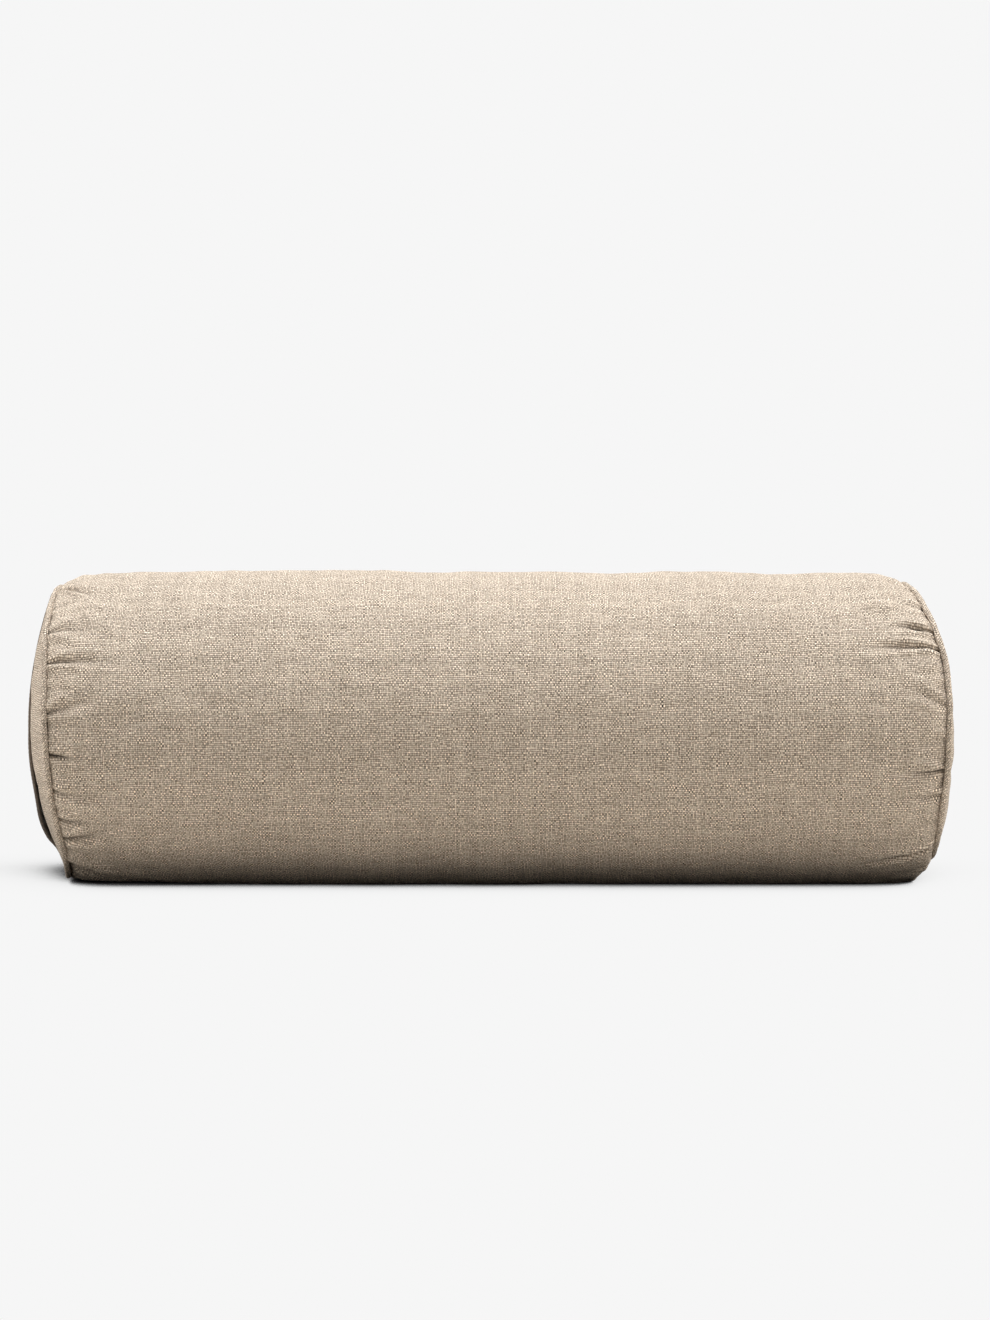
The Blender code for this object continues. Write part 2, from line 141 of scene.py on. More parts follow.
# ==== Shape of the stuffed cover ====
FLOOR_SOFTNESS = 0.5 * MM
SHOULDER_DROP = 9.0 * MM
SHOULDER_LENGTH = 8.0 * MM
TAPER_DROP = 1.5 * MM
TAPER_LENGTH = 30.0 * MM
GROOVE_DEPTH = 2.2 * MM
GROOVE_LENGTH = 1.5 * MM


# How far an end seam stands to the right of its plane, as (degrees, mm): the filling leans both ends.
SEAM_LEAN = {
    -1: ((-170, 0.8), (-140, 1.4), (-110, 0.7), (-81, -0.2), (-66, 2.6), (-51, 5.0), (-40, 3.6),
         (-25, 0.9), (-4, -1.2), (11, -2.6), (30, -3.9), (42, -6.0), (60, -6.1), (87, -7.2),
         (120, -5.5), (150, -2.6)),
    1: ((-170, 4.5), (-140, 6.5), (-110, 1.5), (-84, 3.7), (-72, 7.2), (-61, 10.6), (-45, 8.9), (-25, 9.7),
        (-8, 11.0), (20, 12.4), (36, 10.3), (49, 6.2), (62, 1.6), (75, -1.6), (90, -4.4),
        (120, -0.5), (150, 3.0)),
}


def seam_shift(side, angle):
    """How far an end seam stands to the right of its plane, smoothed between the places given."""
    degrees, shifts = zip(*SEAM_LEAN[side])
    turns = np.degrees(angle)
    lean = sum(np.interp(turns + off, degrees, shifts, period=360.0) for off in range(-6, 7, 2))
    ripple = waves(31 if side < 0 else 37, 10, 0.0, angle, (0.03, 0.08), 0.18 * MM)
    return lean / 7.0 * MM + ripple


def seam_lift(side, angle):
    """How far an end seam is drawn in from the floor near its lowest point, or sags where negative."""
    if side > 0:
        return 12.0 * MM * near_angle(angle, -88, 34)
    return 2.6 * MM * near_angle(angle, 92, 30) - 2.8 * MM * near_angle(angle, -76, 24)


def floor_gap(side, away):
    """How far the fabric near the left end stays clear of the floor."""
    return 3.8 * MM * bell(away, 75.0 * MM) if side < 0 else 0.0


def ring_radius(side, angle):
    """Distance from the axis to the middle of the piping."""
    ripple = waves(41 if side < 0 else 43, 8, 0.0, angle, (0.03, 0.10), 0.20 * MM)
    zip_calm = smoothstep(math.radians(6), math.radians(25), np.abs(turned_gap(angle, ZIP_ANGLE)))
    floor_room = (AXIS_HEIGHT - PIPING_RADIUS - floor_gap(side, 0.0)) / np.maximum(-np.sin(angle), 0.05)
    ring = RING_RADIUS + ripple * zip_calm - seam_lift(side, angle)
    return soft_least([ring, floor_room], 0.2 * MM)


def seam_place(side, angle):
    return side * SEAM_HALF + seam_shift(side, angle)


# Folds that run into the barrel from an end seam: (degrees, depth mm, reach mm, half width mm, slant).
# Slant is how far the fold turns up, in mm for each mm away from the seam.
LEFT_FOLDS = (
    (75, 4.4, 22, 2.6, -0.80),
    (58, 1.0, 14, 3.0, 0.00),
    (45, 2.2, 28, 3.8, -0.15),
    (38, 1.0, 12, 2.8, 0.00),
    (31, 2.7, 34, 2.8, -0.06),
    (21, 1.0, 12, 3.0, -0.20),
    (11.5, 2.6, 24, 3.4, 0.22),
    (-4, 4.0, 18, 2.8, -0.08),
    (-18, 2.4, 28, 3.2, -0.07),
    (-31, 3.0, 26, 3.4, 0.09),
    (-41.5, 3.4, 26, 3.8, 0.44),
)
RIGHT_FOLDS = (
    (73, 1.6, 16, 3.4, -0.05),
    (58, 1.4, 16, 3.2, -0.04),
    (45, 4.0, 25, 2.2, -0.02),
    (36.7, 3.2, 44, 2.4, -0.05),
    (27, 1.0, 14, 2.8, -0.14),
    (13.8, 1.5, 26, 3.4, 0.39),
    (2, 1.6, 20, 3.2, -0.10),
    (-10, 3.4, 26, 2.6, 0.00),
    (-20, 2.4, 28, 3.0, 0.03),
    (-32, 1.4, 20, 3.2, 0.04),
    (-43.8, 4.4, 36, 2.6, -0.28),
    (-60, 1.4, 20, 3.6, 0.00),
)

# Soft dents further in: (side, mm from the seam, degrees, depth mm, half length mm, half width mm, turn).
# Turn is the dent's direction in degrees, 0 along the barrel.
DENTS = (
    (-1, 50, 6, 1.3, 20, 7, 35),
    (-1, 24, -12, 1.0, 14, 6, -30),
    (-1, 30, -33, 1.2, 18, 7, 12),
    (-1, 90, 22, 0.7, 34, 13, -20),
    (-1, 32, 62, 0.9, 20, 7, 8),
    (1, 34, 50, 1.2, 20, 7, -16),
    (1, 46, -4, 0.9, 20, 8, 24),
    (1, 40, -42, 1.0, 24, 8, -14),
    (1, 96, 30, 0.7, 38, 14, 18),
    (-1, 200, -14, 0.6, 60, 18, 6),
    (1, 210, 10, 0.6, 60, 20, -8),
)


def hidden_folds(seed):
    """Folds of the same kind on the half that faces away from the front."""
    rng = np.random.default_rng(seed)
    folds = []
    for degrees in range(92, 268, 14):
        folds.append((degrees + rng.uniform(-4, 4), rng.uniform(0.7, 2.2), rng.uniform(13, 28),
                      rng.uniform(3.8, 5.2), rng.uniform(-0.2, 0.2)))
    return tuple(folds)


def beside_fold(centre, slant, away, angle):
    """Distance in mm round the cover from a fold's middle line."""
    return cloth_gap(angle, centre) - slant * away / MM


def fold_field(folds, away, angle):
    """Height of the folds: a pinched valley, steeper above, between two low swells."""
    field = np.zeros(angle.shape)
    for degrees, depth, reach, width, slant in folds:
        across = beside_fold(math.radians(degrees), slant, away, angle)
        spread = width * (0.62 + 0.85 * away / MM / reach)
        near = across / spread
        pinch = near * np.where(near > 0.0, 1.5, 0.8)
        valley = np.exp(-1.5 * (np.sqrt(pinch * pinch + 0.09) - 0.3))
        valley = valley - 0.60 * bell(np.abs(near) - 1.75, 0.85)
        fade = bell(away / MM, reach) * (0.30 + 0.70 * smoothstep(0.0, 5.0, away / MM))
        field -= depth * MM * valley * fade
    return field


def crease_line(folds, away, angle):
    """0..1: the thin shaded line along the bottom of each of the sharper folds."""
    line = np.zeros(angle.shape)
    for degrees, depth, reach, _, slant in folds:
        across = beside_fold(math.radians(degrees), slant, away, angle)
        sharp = float(smoothstep(2.2, 4.4, depth))
        line += sharp * bell(across + 0.4, 0.95) * bell(away / MM, 0.9 * reach)
    return line


def all_folds(from_left, from_right, angle):
    """Height of the folds of both ends, all the way round."""
    field = fold_field(LEFT_FOLDS + hidden_folds(5), from_left, angle)
    return field + fold_field(RIGHT_FOLDS + hidden_folds(6), from_right, angle)


def painted_crease_shade(along, angle):
    """0..1: how much painted shade a point of the barrel gets from lying in a fold's valley or under the
    lip.
    """
    from_left = along - seam_place(-1, angle)
    from_right = seam_place(1, angle) - along
    valley = np.clip(-all_folds(from_left, from_right, angle) / (2.4 * MM), 0.0, 1.0) ** 2
    line = crease_line(LEFT_FOLDS, from_left, angle) + crease_line(RIGHT_FOLDS, from_right, angle)
    # Painted shade under the edge of the lip at the lower left.
    shade_under_lip = bell(lip_place(from_left, angle) + 1.6, 1.3) * bell(from_left, 60.0 * MM)
    return np.clip(0.4 * valley + line + 0.8 * shade_under_lip, 0.0, 1.0)


def gather_field(seed, away, angle):
    """Fine gathers all round a seam, each a few millimetres wide."""
    rng = np.random.default_rng(seed)
    field = np.zeros(angle.shape)
    centre = -math.pi
    while centre < math.pi:
        depth = rng.uniform(0.15, 0.85) * MM
        reach = rng.uniform(4.0, 11.0)
        width = rng.uniform(1.8, 3.4)
        slant = rng.uniform(-0.25, 0.25)
        across = beside_fold(centre, slant, away, angle)
        near = across / (width * (0.7 + 0.6 * away / MM / reach))
        field -= depth * bell(near, 1.0) * bell(away / MM, reach)
        centre += rng.uniform(5.5, 11.0) * MM / BARREL_RADIUS
    return field


def dent_field(side, away, angle):
    """Height of one end's soft dents, each with a low rim along its sides."""
    field = np.zeros(angle.shape)
    for own_side, place, degrees, depth, length, width, turn in DENTS:
        if own_side != side:
            continue
        along = away / MM - place
        around = cloth_gap(angle, math.radians(degrees))
        c, s = math.cos(math.radians(turn)), math.sin(math.radians(turn))
        long = (c * along + s * around) / length
        short = (c * around - s * along) / width
        field -= depth * MM * bell(long, 1.0) * (bell(short, 1.0) - 0.35 * bell(np.abs(short) - 1.7, 0.9))
    return field


LIP_ANGLE = math.radians(-54.0)     # the lip's edge at the left seam
LIP_REACH = 62.0 * MM
LIP_FALL = 26.0                     # mm round the barrel that the edge comes down further right


def lip_place(away, angle):
    """How far round the barrel, in mm, a point lies above the edge of the lip at the lower left."""
    return cloth_gap(angle, LIP_ANGLE) + LIP_FALL * (1.0 - bell(away, 42.0 * MM))


def floor_lip(away, angle):
    """Near the left end the fabric hangs over in a lip; below it the fabric is tucked in."""
    around = lip_place(away, angle)
    lip = 2.8 * bell(around - 5.0, 8.0)
    below = 1.0 / (1.0 + np.exp(np.clip((around + 1.0) / 0.9, -40.0, 40.0)))
    below = below * bell(np.minimum(around + 16.0, 0.0), 16.0)
    upright = 0.45 * np.clip(-around - 2.0, 0.0, 13.0) * (1.0 - np.exp(-away / (5.0 * MM)))
    return MM * bell(away, LIP_REACH) * (lip + below * (upright - 5.0))


def shoulder(away, side, angle):
    """How far the fabric drops toward an end seam. At one place of each seam it stays more level."""
    place, eased, tuck_length = (86, 0.35, 14.0 * MM) if side < 0 else (-84, 0.50, 2.6 * MM)
    level = near_angle(angle, place, 30)
    quick = SHOULDER_DROP * np.exp(-away / SHOULDER_LENGTH) * (1.0 - eased * level)
    slow = TAPER_DROP * np.exp(-away / TAPER_LENGTH)
    groove = GROOVE_DEPTH * bell(away, GROOVE_LENGTH) * (1.0 - 0.9 * level)
    tucked = seam_lift(side, angle) * bell(away, tuck_length)
    if side < 0:
        tucked = tucked + 1.8 * MM * near_angle(angle, 88, 32) * np.exp(-away / (34.0 * MM))
    return quick + slow + groove + tucked


def barrel_surface(share, angle, inset=0.0, folded=True):
    """Points of the barrel's fabric. share runs 0..1 from the left seam to the right one."""
    left = seam_place(-1, angle)
    right = seam_place(1, angle)
    along = left + (right - left) * share
    from_left = along - left
    from_right = right - along
    radius = BARREL_RADIUS - shoulder(from_left, -1, angle) - shoulder(from_right, 1, angle)
    if folded:
        relief = all_folds(from_left, from_right, angle)
        relief += gather_field(7, from_left, angle) + gather_field(8, from_right, angle)
        relief += dent_field(-1, from_left, angle) + dent_field(1, from_right, angle)
        relief += floor_lip(from_left, angle)
        nearness = np.exp(-from_left / (28.0 * MM)) + np.exp(-from_right / (28.0 * MM))
        relief += waves(11, 26, along, angle, (0.011, 0.030), 0.42 * MM) * nearness
        relief += waves(13, 22, along, angle, (0.050, 0.180), 0.42 * MM)
        relief += 1.4 * MM * bell(along + 0.13, 0.12) * bell(turned_gap(angle, math.radians(95)), 0.87)
        relief += waves(17, 30, along, angle, (0.016, 0.045), 0.15 * MM)
        calm = smoothstep(9.0 * MM, 34.0 * MM, BARREL_RADIUS * np.abs(turned_gap(angle, ZIP_ANGLE)))
        radius = radius + relief * calm
    toward_floor = np.maximum(-np.sin(angle), 0.02)
    toward_zip = np.maximum(np.cos(turned_gap(angle, ZIP_ANGLE)), 0.02)
    floor_room = (AXIS_HEIGHT - floor_gap(-1, from_left)) / toward_floor
    radius = soft_least([radius, floor_room, ZIP_FLAT / toward_zip], FLOOR_SOFTNESS)
    radius = radius - inset
    return np.stack([along, -radius * np.cos(angle), AXIS_HEIGHT + radius * np.sin(angle)], axis=-1)


PANEL_FULLNESS = 2.15
PANEL_EDGE = 1.9 * MM               # the panel's rim inside the middle of the piping


def panel_surface(side, share, angle, folded=True):
    """Points of an end panel. share runs 0..1 from its crown to its rim."""
    seam = seam_place(side, angle)
    rim = seam + side * 1.2 * MM
    rim_radius = ring_radius(side, angle) - PANEL_EDGE
    radius = share * rim_radius
    across = -radius * np.cos(angle)
    up = radius * np.sin(angle)
    crown = side * PANEL_CROWN
    along = crown + (rim - crown) * share ** PANEL_FULLNESS
    if folded:
        from_rim = (1.0 - share) * rim_radius
        rng = np.random.default_rng(61 if side < 0 else 67)
        relief = np.zeros(np.broadcast(share, angle).shape)
        for degrees in range(0, 360, 11):
            centre = math.radians(degrees + rng.uniform(-3.5, 3.5))
            depth = rng.uniform(0.15, 0.85) * MM
            reach = rng.uniform(8.0, 22.0) * MM
            width = rng.uniform(2.6, 4.6) * MM * (0.7 + 0.9 * from_rim / reach)
            near = PANEL_RADIUS * turned_gap(angle, centre) * np.maximum(share, 0.2) / width
            valley = bell(near, 1.0) - 0.25 * bell(np.abs(near) - 1.7, 0.9)
            relief -= depth * valley * bell(from_rim, reach)
        relief += waves(71 if side < 0 else 73, 18, across, up, (0.045, 0.120), 0.6 * MM, wrapped=False)
        relief += waves(79 if side < 0 else 83, 22, across, up, (0.014, 0.035), 0.16 * MM, wrapped=False)
        if side > 0:
            relief += 2.4 * MM * bell(across + 0.02, 0.05) * bell(up + 0.046, 0.028)
        relief *= smoothstep(0.0, 3.0 * MM, from_rim)
        along = along + side * relief
    along = along - side * 0.9 * MM * bell((1.0 - share) * rim_radius, 1.3 * MM)
    return np.stack([along + 0.0 * angle, across, AXIS_HEIGHT + up], axis=-1)


# ==== Mesh helpers ====
CLOTH_THICKNESS = 0.6 * MM


def new_object(name, mesh):
    obj = bpy.data.objects.new(name, mesh)
    bpy.context.scene.collection.objects.link(obj)
    return obj


def grid_object(name, points, cloth, closed_rows=False, closed_columns=False, flip=False):
    """A smooth quad sheet from an array of points, with its place in the cloth on each point."""
    rows, columns = points.shape[:2]
    index = np.arange(rows * columns).reshape(rows, columns)
    if closed_rows:
        index = np.vstack([index, index[:1]])
    if closed_columns:
        index = np.hstack([index, index[:, :1]])
    quads = np.stack([index[:-1, :-1], index[1:, :-1], index[1:, 1:], index[:-1, 1:]], axis=-1)
    quads = quads.reshape(-1, 4)
    if flip:
        quads = quads[:, ::-1]
    mesh = bpy.data.meshes.new(name)
    mesh.from_pydata(points.reshape(-1, 3).tolist(), [], quads.tolist())
    set_cloth(mesh, cloth.reshape(-1, cloth.shape[-1]))
    mesh.shade_smooth()
    return new_object(name, mesh)


def set_cloth(mesh, places):
    """Stores each point's place in the cloth, and the painted shade of the folds where that is given."""
    attribute = mesh.attributes.new("cloth", "FLOAT_VECTOR", "POINT")
    padded = np.zeros((len(places), 3), np.float32)
    padded[:, :places.shape[1]] = places
    attribute.data.foreach_set("vector", padded.ravel())


def thicken(obj):
    """Gives a sheet the cloth's thickness, inward."""
    solid = obj.modifiers.new("thickness", "SOLIDIFY")
    solid.thickness = CLOTH_THICKNESS
    solid.offset = -1.0
    apply_modifiers(obj)


def apply_modifiers(obj):
    depsgraph = bpy.context.evaluated_depsgraph_get()
    mesh = bpy.data.meshes.new_from_object(obj.evaluated_get(depsgraph))
    obj.modifiers.clear()
    obj.data = mesh


def weld(mesh, distance):
    bm = bmesh.new()
    bm.from_mesh(mesh)
    bmesh.ops.remove_doubles(bm, verts=bm.verts, dist=distance)
    bm.to_mesh(mesh)
    bm.free()


def close_ends(obj, columns, rows):
    """Closes the first and the last ring of a tube with a flat, sharp-edged face."""
    bm = bmesh.new()
    bm.from_mesh(obj.data)
    bm.verts.ensure_lookup_table()
    caps = [bm.faces.new([bm.verts[i] for i in range(columns)]),
            bm.faces.new([bm.verts[(rows - 1) * columns + i] for i in reversed(range(columns))])]
    for cap in caps:
        for edge in cap.edges:
            edge.smooth = False
    bmesh.ops.recalc_face_normals(bm, faces=bm.faces)
    bm.to_mesh(obj.data)
    bm.free()


def tube_points(path, radius, sides, closed):
    """Rings of points round a path. radius is a number or one number for each path point."""
    path = np.asarray(path, float)
    if closed:
        tangent = np.roll(path, -1, axis=0) - np.roll(path, 1, axis=0)
    else:
        tangent = np.gradient(path, axis=0)
    tangent /= np.linalg.norm(tangent, axis=1, keepdims=True)
    reference = np.array([1.0, 0.0, 0.0])
    side = np.cross(tangent, reference)
    lost = np.linalg.norm(side, axis=1) < 0.2
    side[lost] = np.cross(tangent[lost], np.array([0.0, 0.0, 1.0]))
    side /= np.linalg.norm(side, axis=1, keepdims=True)
    other = np.cross(tangent, side)
    turn = np.linspace(0.0, math.tau, sides, endpoint=False)
    radius = np.broadcast_to(np.asarray(radius, float), (len(path),))
    ring = (np.cos(turn)[None, :, None] * side[:, None, :]
            + np.sin(turn)[None, :, None] * other[:, None, :])
    return path[:, None, :] + radius[:, None, None] * ring, turn


def dress(obj, material, body, slot, *replaced):
    """Gives a piece its material and the body that it rides on, and hides the CAD nodes it stands for.
    slot is not used.
    """
    obj.data.materials.clear()
    obj.data.materials.append(material)
    if body:
        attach(obj, body)
    if replaced:
        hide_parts(*replaced)
    return obj


# ==== Materials ====
class Value:
    """A number that a material works out. Arithmetic on it adds a node."""

    def __init__(self, nodes, socket):
        self.nodes = nodes
        self.socket = socket

    def __add__(self, other):
        return self.nodes.math("ADD", self, other)

    def __sub__(self, other):
        return self.nodes.math("SUBTRACT", self, other)

    def __rsub__(self, other):
        return self.nodes.math("SUBTRACT", other, self)

    def __mul__(self, other):
        return self.nodes.math("MULTIPLY", self, other)

    __radd__ = __add__
    __rmul__ = __mul__


class Nodes:
    """Fills an empty node tree. What is fed to a node is a Value, a socket or a plain number or colour."""

    def __init__(self, owner, output="OutputMaterial"):
        owner.use_nodes = True
        self.tree = owner.node_tree
        self.tree.nodes.clear()
        self.output = self.tree.nodes.new("ShaderNode" + output)

    def surface(self, shader):
        self.tree.links.new(shader, self.output.inputs["Surface"])

    def node(self, kind, inputs, output=0, **settings):
        """Adds a node and gives one of its outputs. inputs go by name or place."""
        node = self.tree.nodes.new("ShaderNode" + kind)
        for name, setting in settings.items():
            setattr(node, name, setting)
        for name, value in inputs.items():
            if isinstance(value, Value):
                value = value.socket
            if isinstance(value, bpy.types.NodeSocket):
                self.tree.links.new(value, node.inputs[name])
            else:
                node.inputs[name].default_value = value
        return node.outputs[output]

    def math(self, operation, first, second=0.0):
        return Value(self, self.node("Math", {0: first, 1: second}, operation=operation))

    def remap(self, value, low, high, to_low=0.0, to_high=1.0, shape="LINEAR"):
        inputs = dict(enumerate((value, low, high, to_low, to_high)))
        return Value(self, self.node("MapRange", inputs, interpolation_type=shape))

    def ridges(self, place, pitch):
        """0..1 rounded ridges, a pitch apart."""
        return self.math("ABSOLUTE", self.math("SINE", place * (math.pi / pitch)))

    def vector(self, x, y, z=0.0):
        return self.node("CombineXYZ", {0: x, 1: y, 2: z})

    def parts(self, vector):
        first = self.node("SeparateXYZ", {0: vector})
        return [Value(self, socket) for socket in first.node.outputs]

    def cloth(self):
        """A point's place in the cloth, x and y, and how much painted shade the folds give it."""
        return self.parts(self.node("Attribute", {}, "Vector", attribute_name="cloth"))

    def place(self):
        """A point's place in the object."""
        return self.node("TexCoord", {}, "Object")

    def noise(self, vector, scale=1.0, detail=2.0, roughness=0.5):
        inputs = {"Vector": vector, "Scale": scale, "Detail": detail, "Roughness": roughness}
        return Value(self, self.node("TexNoise", inputs))

    def white(self, first, second):
        """A random number for each pair of numbers."""
        place = self.vector(first, second)
        return Value(self, self.node("TexWhiteNoise", {"Vector": place}, noise_dimensions="2D"))

    def mix(self, factor, first, second):
        """A colour between two others, given as (red, green, blue)."""
        return self.node("Mix", {0: factor, 6: (*first, 1.0), 7: (*second, 1.0)}, 2, data_type="RGBA")

    def scaled(self, colour, factor):
        return self.node("VectorMath", {0: colour, "Scale": factor}, operation="SCALE")

    def bump(self, height, distance, strength=1.0):
        return self.node("Bump", {"Height": height, "Distance": distance, "Strength": strength})


class Recipe(Nodes):
    """Builds a material with one Principled shader."""

    def __init__(self, name):
        self.material = bpy.data.materials.new(name)
        super().__init__(self.material)

    def finish(self, colour, roughness, normal=None, sheen=0.0, specular=0.3, metallic=0.0):
        inputs = {"Base Color": colour, "Roughness": roughness, "Sheen Weight": sheen,
                  "Sheen Roughness": 0.55, "Specular IOR Level": specular, "Metallic": metallic}
        if normal is not None:
            inputs["Normal"] = normal
        self.surface(self.node("BsdfPrincipled", inputs))
        return self.material


def plain_weave(r, along, around, pitch_along, pitch_around, uneven):
    """Height 0..1, tone about 1 and a random number for each crossing of a plain weave.

    Columns are the yarns that run round, rows the yarns that run along.
    """
    raw_u = along * (1.0 / pitch_along)
    raw_v = around * (1.0 / pitch_around)
    drift_u = r.noise(r.vector(raw_u * 0.16, raw_v * 0.07), 1.0, 3.0, 0.55)
    drift_v = r.noise(r.vector(raw_u * 0.06, raw_v * 0.16, 7.0), 1.0, 3.0, 0.55)
    u = raw_u + (drift_u - 0.5) * 2.3
    v = raw_v + (drift_v - 0.5) * 2.3
    column = r.math("FLOOR", u)
    row = r.math("FLOOR", v)
    in_column = r.math("FRACT", u) - 0.5
    in_row = r.math("FRACT", v) - 0.5
    over = 1.0 - r.math("MODULO", r.math("ABSOLUTE", column + row), 2.0) * 2.0

    def yarn(place, crossing, sign, number, length, seed):
        """Height and tone of one set of yarns: place is across a yarn, crossing along it."""
        slub = r.noise(r.vector(number * 7.31, length, seed), 1.0, 2.0, 0.6)
        fat = r.remap(slub, 0.30, 0.72, -0.45 * uneven, uneven)
        crown = 1.0 - place * place * 3.6
        wave = over * sign * (r.math("COSINE", crossing * math.pi) * 0.46)
        streak = r.noise(r.vector(number * 3.17, length * 1.4, seed + 2.0), 1.0, 2.0)
        tone = (r.white(number, seed) - 0.5) * 0.26 + (streak - 0.5) * 0.62
        return crown + wave + fat, tone

    column_height, column_tone = yarn(in_column, in_row, 1.0, column, v * 0.11, 3.0)
    row_height, row_tone = yarn(in_row, in_column, -1.0, row, u * 0.09, 11.0)
    height = r.remap(r.math("MAXIMUM", column_height, row_height), 0.25, 1.60)
    on_column = r.math("GREATER_THAN", column_height, row_height)
    # Where a round-running yarn lies on top the crossing is painted darker, and where an along-running
    # yarn lies on top lighter: painted shade and light from above, added to each yarn's own random tone.
    yarn_tone_and_shade = on_column * (column_tone - 0.15) + (1.0 - on_column) * (row_tone + 0.13)

    def lot(next_column, next_row):
        """A random number for the crossing so many columns and rows further on."""
        there = column + next_column
        beside = row + next_row
        return r.white(there * 0.731 + beside * 0.377, beside * 0.913 - there * 0.219)

    # Each crossing differs from its neighbours, so that the mottling stays as fine as the yarns.
    neighbours = lot(1.0, 0.0) + lot(0.0, 1.0) + (lot(-1.0, 0.0) + lot(0.0, -1.0))
    crossing = 0.5 + (lot(0.0, 0.0) - neighbours * 0.25)
    return height, 1.0 + yarn_tone_and_shade + (crossing - 0.5) * 0.74, crossing


# The dark colour is the painted shade in the gaps between the yarns and down their sides; the light one is
# the yarns' own colour.
LINEN_LIGHT = (0.742, 0.632, 0.518)
LINEN_GAP_SHADE = (0.100, 0.052, 0.016)


def linen_material(name, turned=0.0):
    """Natural flax-coloured plain-weave linen. turned is the weave's angle in the cloth."""
    r = Recipe(name)
    x, y, crease = r.cloth()
    along = x * math.cos(turned) + y * math.sin(turned)
    around = y * math.cos(turned) - x * math.sin(turned)
    height, tone, crossing = plain_weave(r, along, around, YARN_ROUND, YARN_ALONG, 0.26)

    place = r.vector(along, around)
    cloudy = r.noise(place, 14.0, 3.0, 0.6)
    blotch = r.noise(place, 60.0, 2.0, 0.5)
    coarse = r.noise(r.vector(along, around, 2.0), 290.0, 2.0, 0.6)
    grain = r.noise(place, 1600.0, 2.0, 0.6)
    nep = r.remap(r.noise(r.vector(along, around, 4.0), 400.0, 1.0), 0.71, 0.77)
    fibre = r.noise(r.vector(along * 2300.0, around * 2300.0), 1.0, 3.0, 0.7)

    # Low places of the weave are mixed toward the dark gap colour, as painted shade between the yarns;
    # fibre and grain add random tone of their own.
    shade = r.remap(height, 0.15, 0.95) + (fibre - 0.5) * 0.30 + (grain - 0.5) * 1.10
    shade = r.math("MAXIMUM", r.math("MINIMUM", shade, 1.0), 0.0)
    level = tone
    for patch, contrast in ((cloudy, 0.10), (blotch, 0.08), (coarse, 0.12)):
        level = level * (1.0 + (patch - 0.5) * contrast)
    # The folds' valleys and the place under the lip are darkened here: painted shade.
    level = (level + nep * 0.50) * (1.0 - crease * 0.80)
    colour = r.scaled(r.mix(shade, LINEN_GAP_SHADE, LINEN_LIGHT), level)
    relief = height + fibre * 0.25 + nep * 0.5 + crossing * 0.25 + grain * 0.5
    roughness = r.remap(height, 0.0, 1.0, 0.98, 0.84)
    return r.finish(colour, roughness, r.bump(relief, 0.60 * MM), sheen=0.05, specular=0.10)


def webbing_material(name):
    """Brown-charcoal herringbone webbing with ribbed selvedges."""
    r = Recipe(name)
    across, along, _ = r.cloth()
    rib = 1.15 * MM
    row = 0.95 * MM
    lane = r.math("PINGPONG", across * (1.0 / (4.0 * rib)), 1.0)
    twill = r.ridges(along * (1.0 / row) + lane * 2.6, 1.0)
    ribs = r.ridges(across, rib * 0.5)
    picks = r.noise(r.vector(across * 300.0, along * 2100.0))
    fuzz = r.noise(r.vector(across * 3000.0, along * 3000.0), 1.0, 3.0, 0.7)
    height = twill * 0.60 + ribs * 0.25 + picks * 0.3
    colour = r.mix(r.remap(height + fuzz * 0.35, 0.42, 1.15), (0.060, 0.048, 0.038), (0.260, 0.216, 0.180))
    worn = r.noise(r.vector(across, along), 35.0, 3.0)
    shade = r.remap(worn, 0.3, 0.7, 0.85, 1.2) * r.remap(lane, 0.2, 0.8, 0.80, 1.16)
    normal = r.bump(height + fuzz * 0.2, 0.35 * MM, 0.9)
    roughness = r.remap(height, 0.0, 1.0, 0.95, 0.80)
    return r.finish(r.scaled(colour, shade), roughness, normal, sheen=0.15, specular=0.2)


def tape_material(name):
    """Fine ribbed zip tape."""
    r = Recipe(name)
    x, y, z = r.parts(r.place())
    fuzz = r.noise(r.vector(x, y, z), 900.0, 3.0)
    height = r.ridges(x, 0.55 * MM) * 0.5 + r.ridges(z, 0.70 * MM) * 0.5
    colour = r.mix(r.remap(height + fuzz * 0.4, 0.2, 1.3), (0.250, 0.190, 0.135), (0.440, 0.355, 0.265))
    return r.finish(colour, 0.85, r.bump(height, 0.15 * MM, 0.7), sheen=0.1, specular=0.2)


def coil_material(name):
    """Moulded nylon."""
    r = Recipe(name)
    grain = r.noise(r.place(), 700.0, 3.0)
    colour = r.mix(grain, (0.300, 0.235, 0.170), (0.400, 0.320, 0.240))
    roughness = r.remap(grain, 0.3, 0.7, 0.34, 0.50)
    return r.finish(colour, roughness, r.bump(grain, 0.05 * MM, 0.4), specular=0.45)


def metal_material(name):
    """Worn antique nickel."""
    r = Recipe(name)
    place = r.place()
    cloud = r.noise(place, 260.0, 4.0, 0.65)
    x, y, z = r.parts(place)
    wear = cloud + r.noise(r.vector(x * 300.0, y * 4200.0, z * 4200.0))
    colour = r.mix(r.remap(cloud, 0.3, 0.7), (0.250, 0.235, 0.215), (0.480, 0.460, 0.430))
    return r.finish(colour, 0.22 + wear * 0.16, r.bump(wear, 0.02 * MM, 0.5), specular=0.5, metallic=0.92)


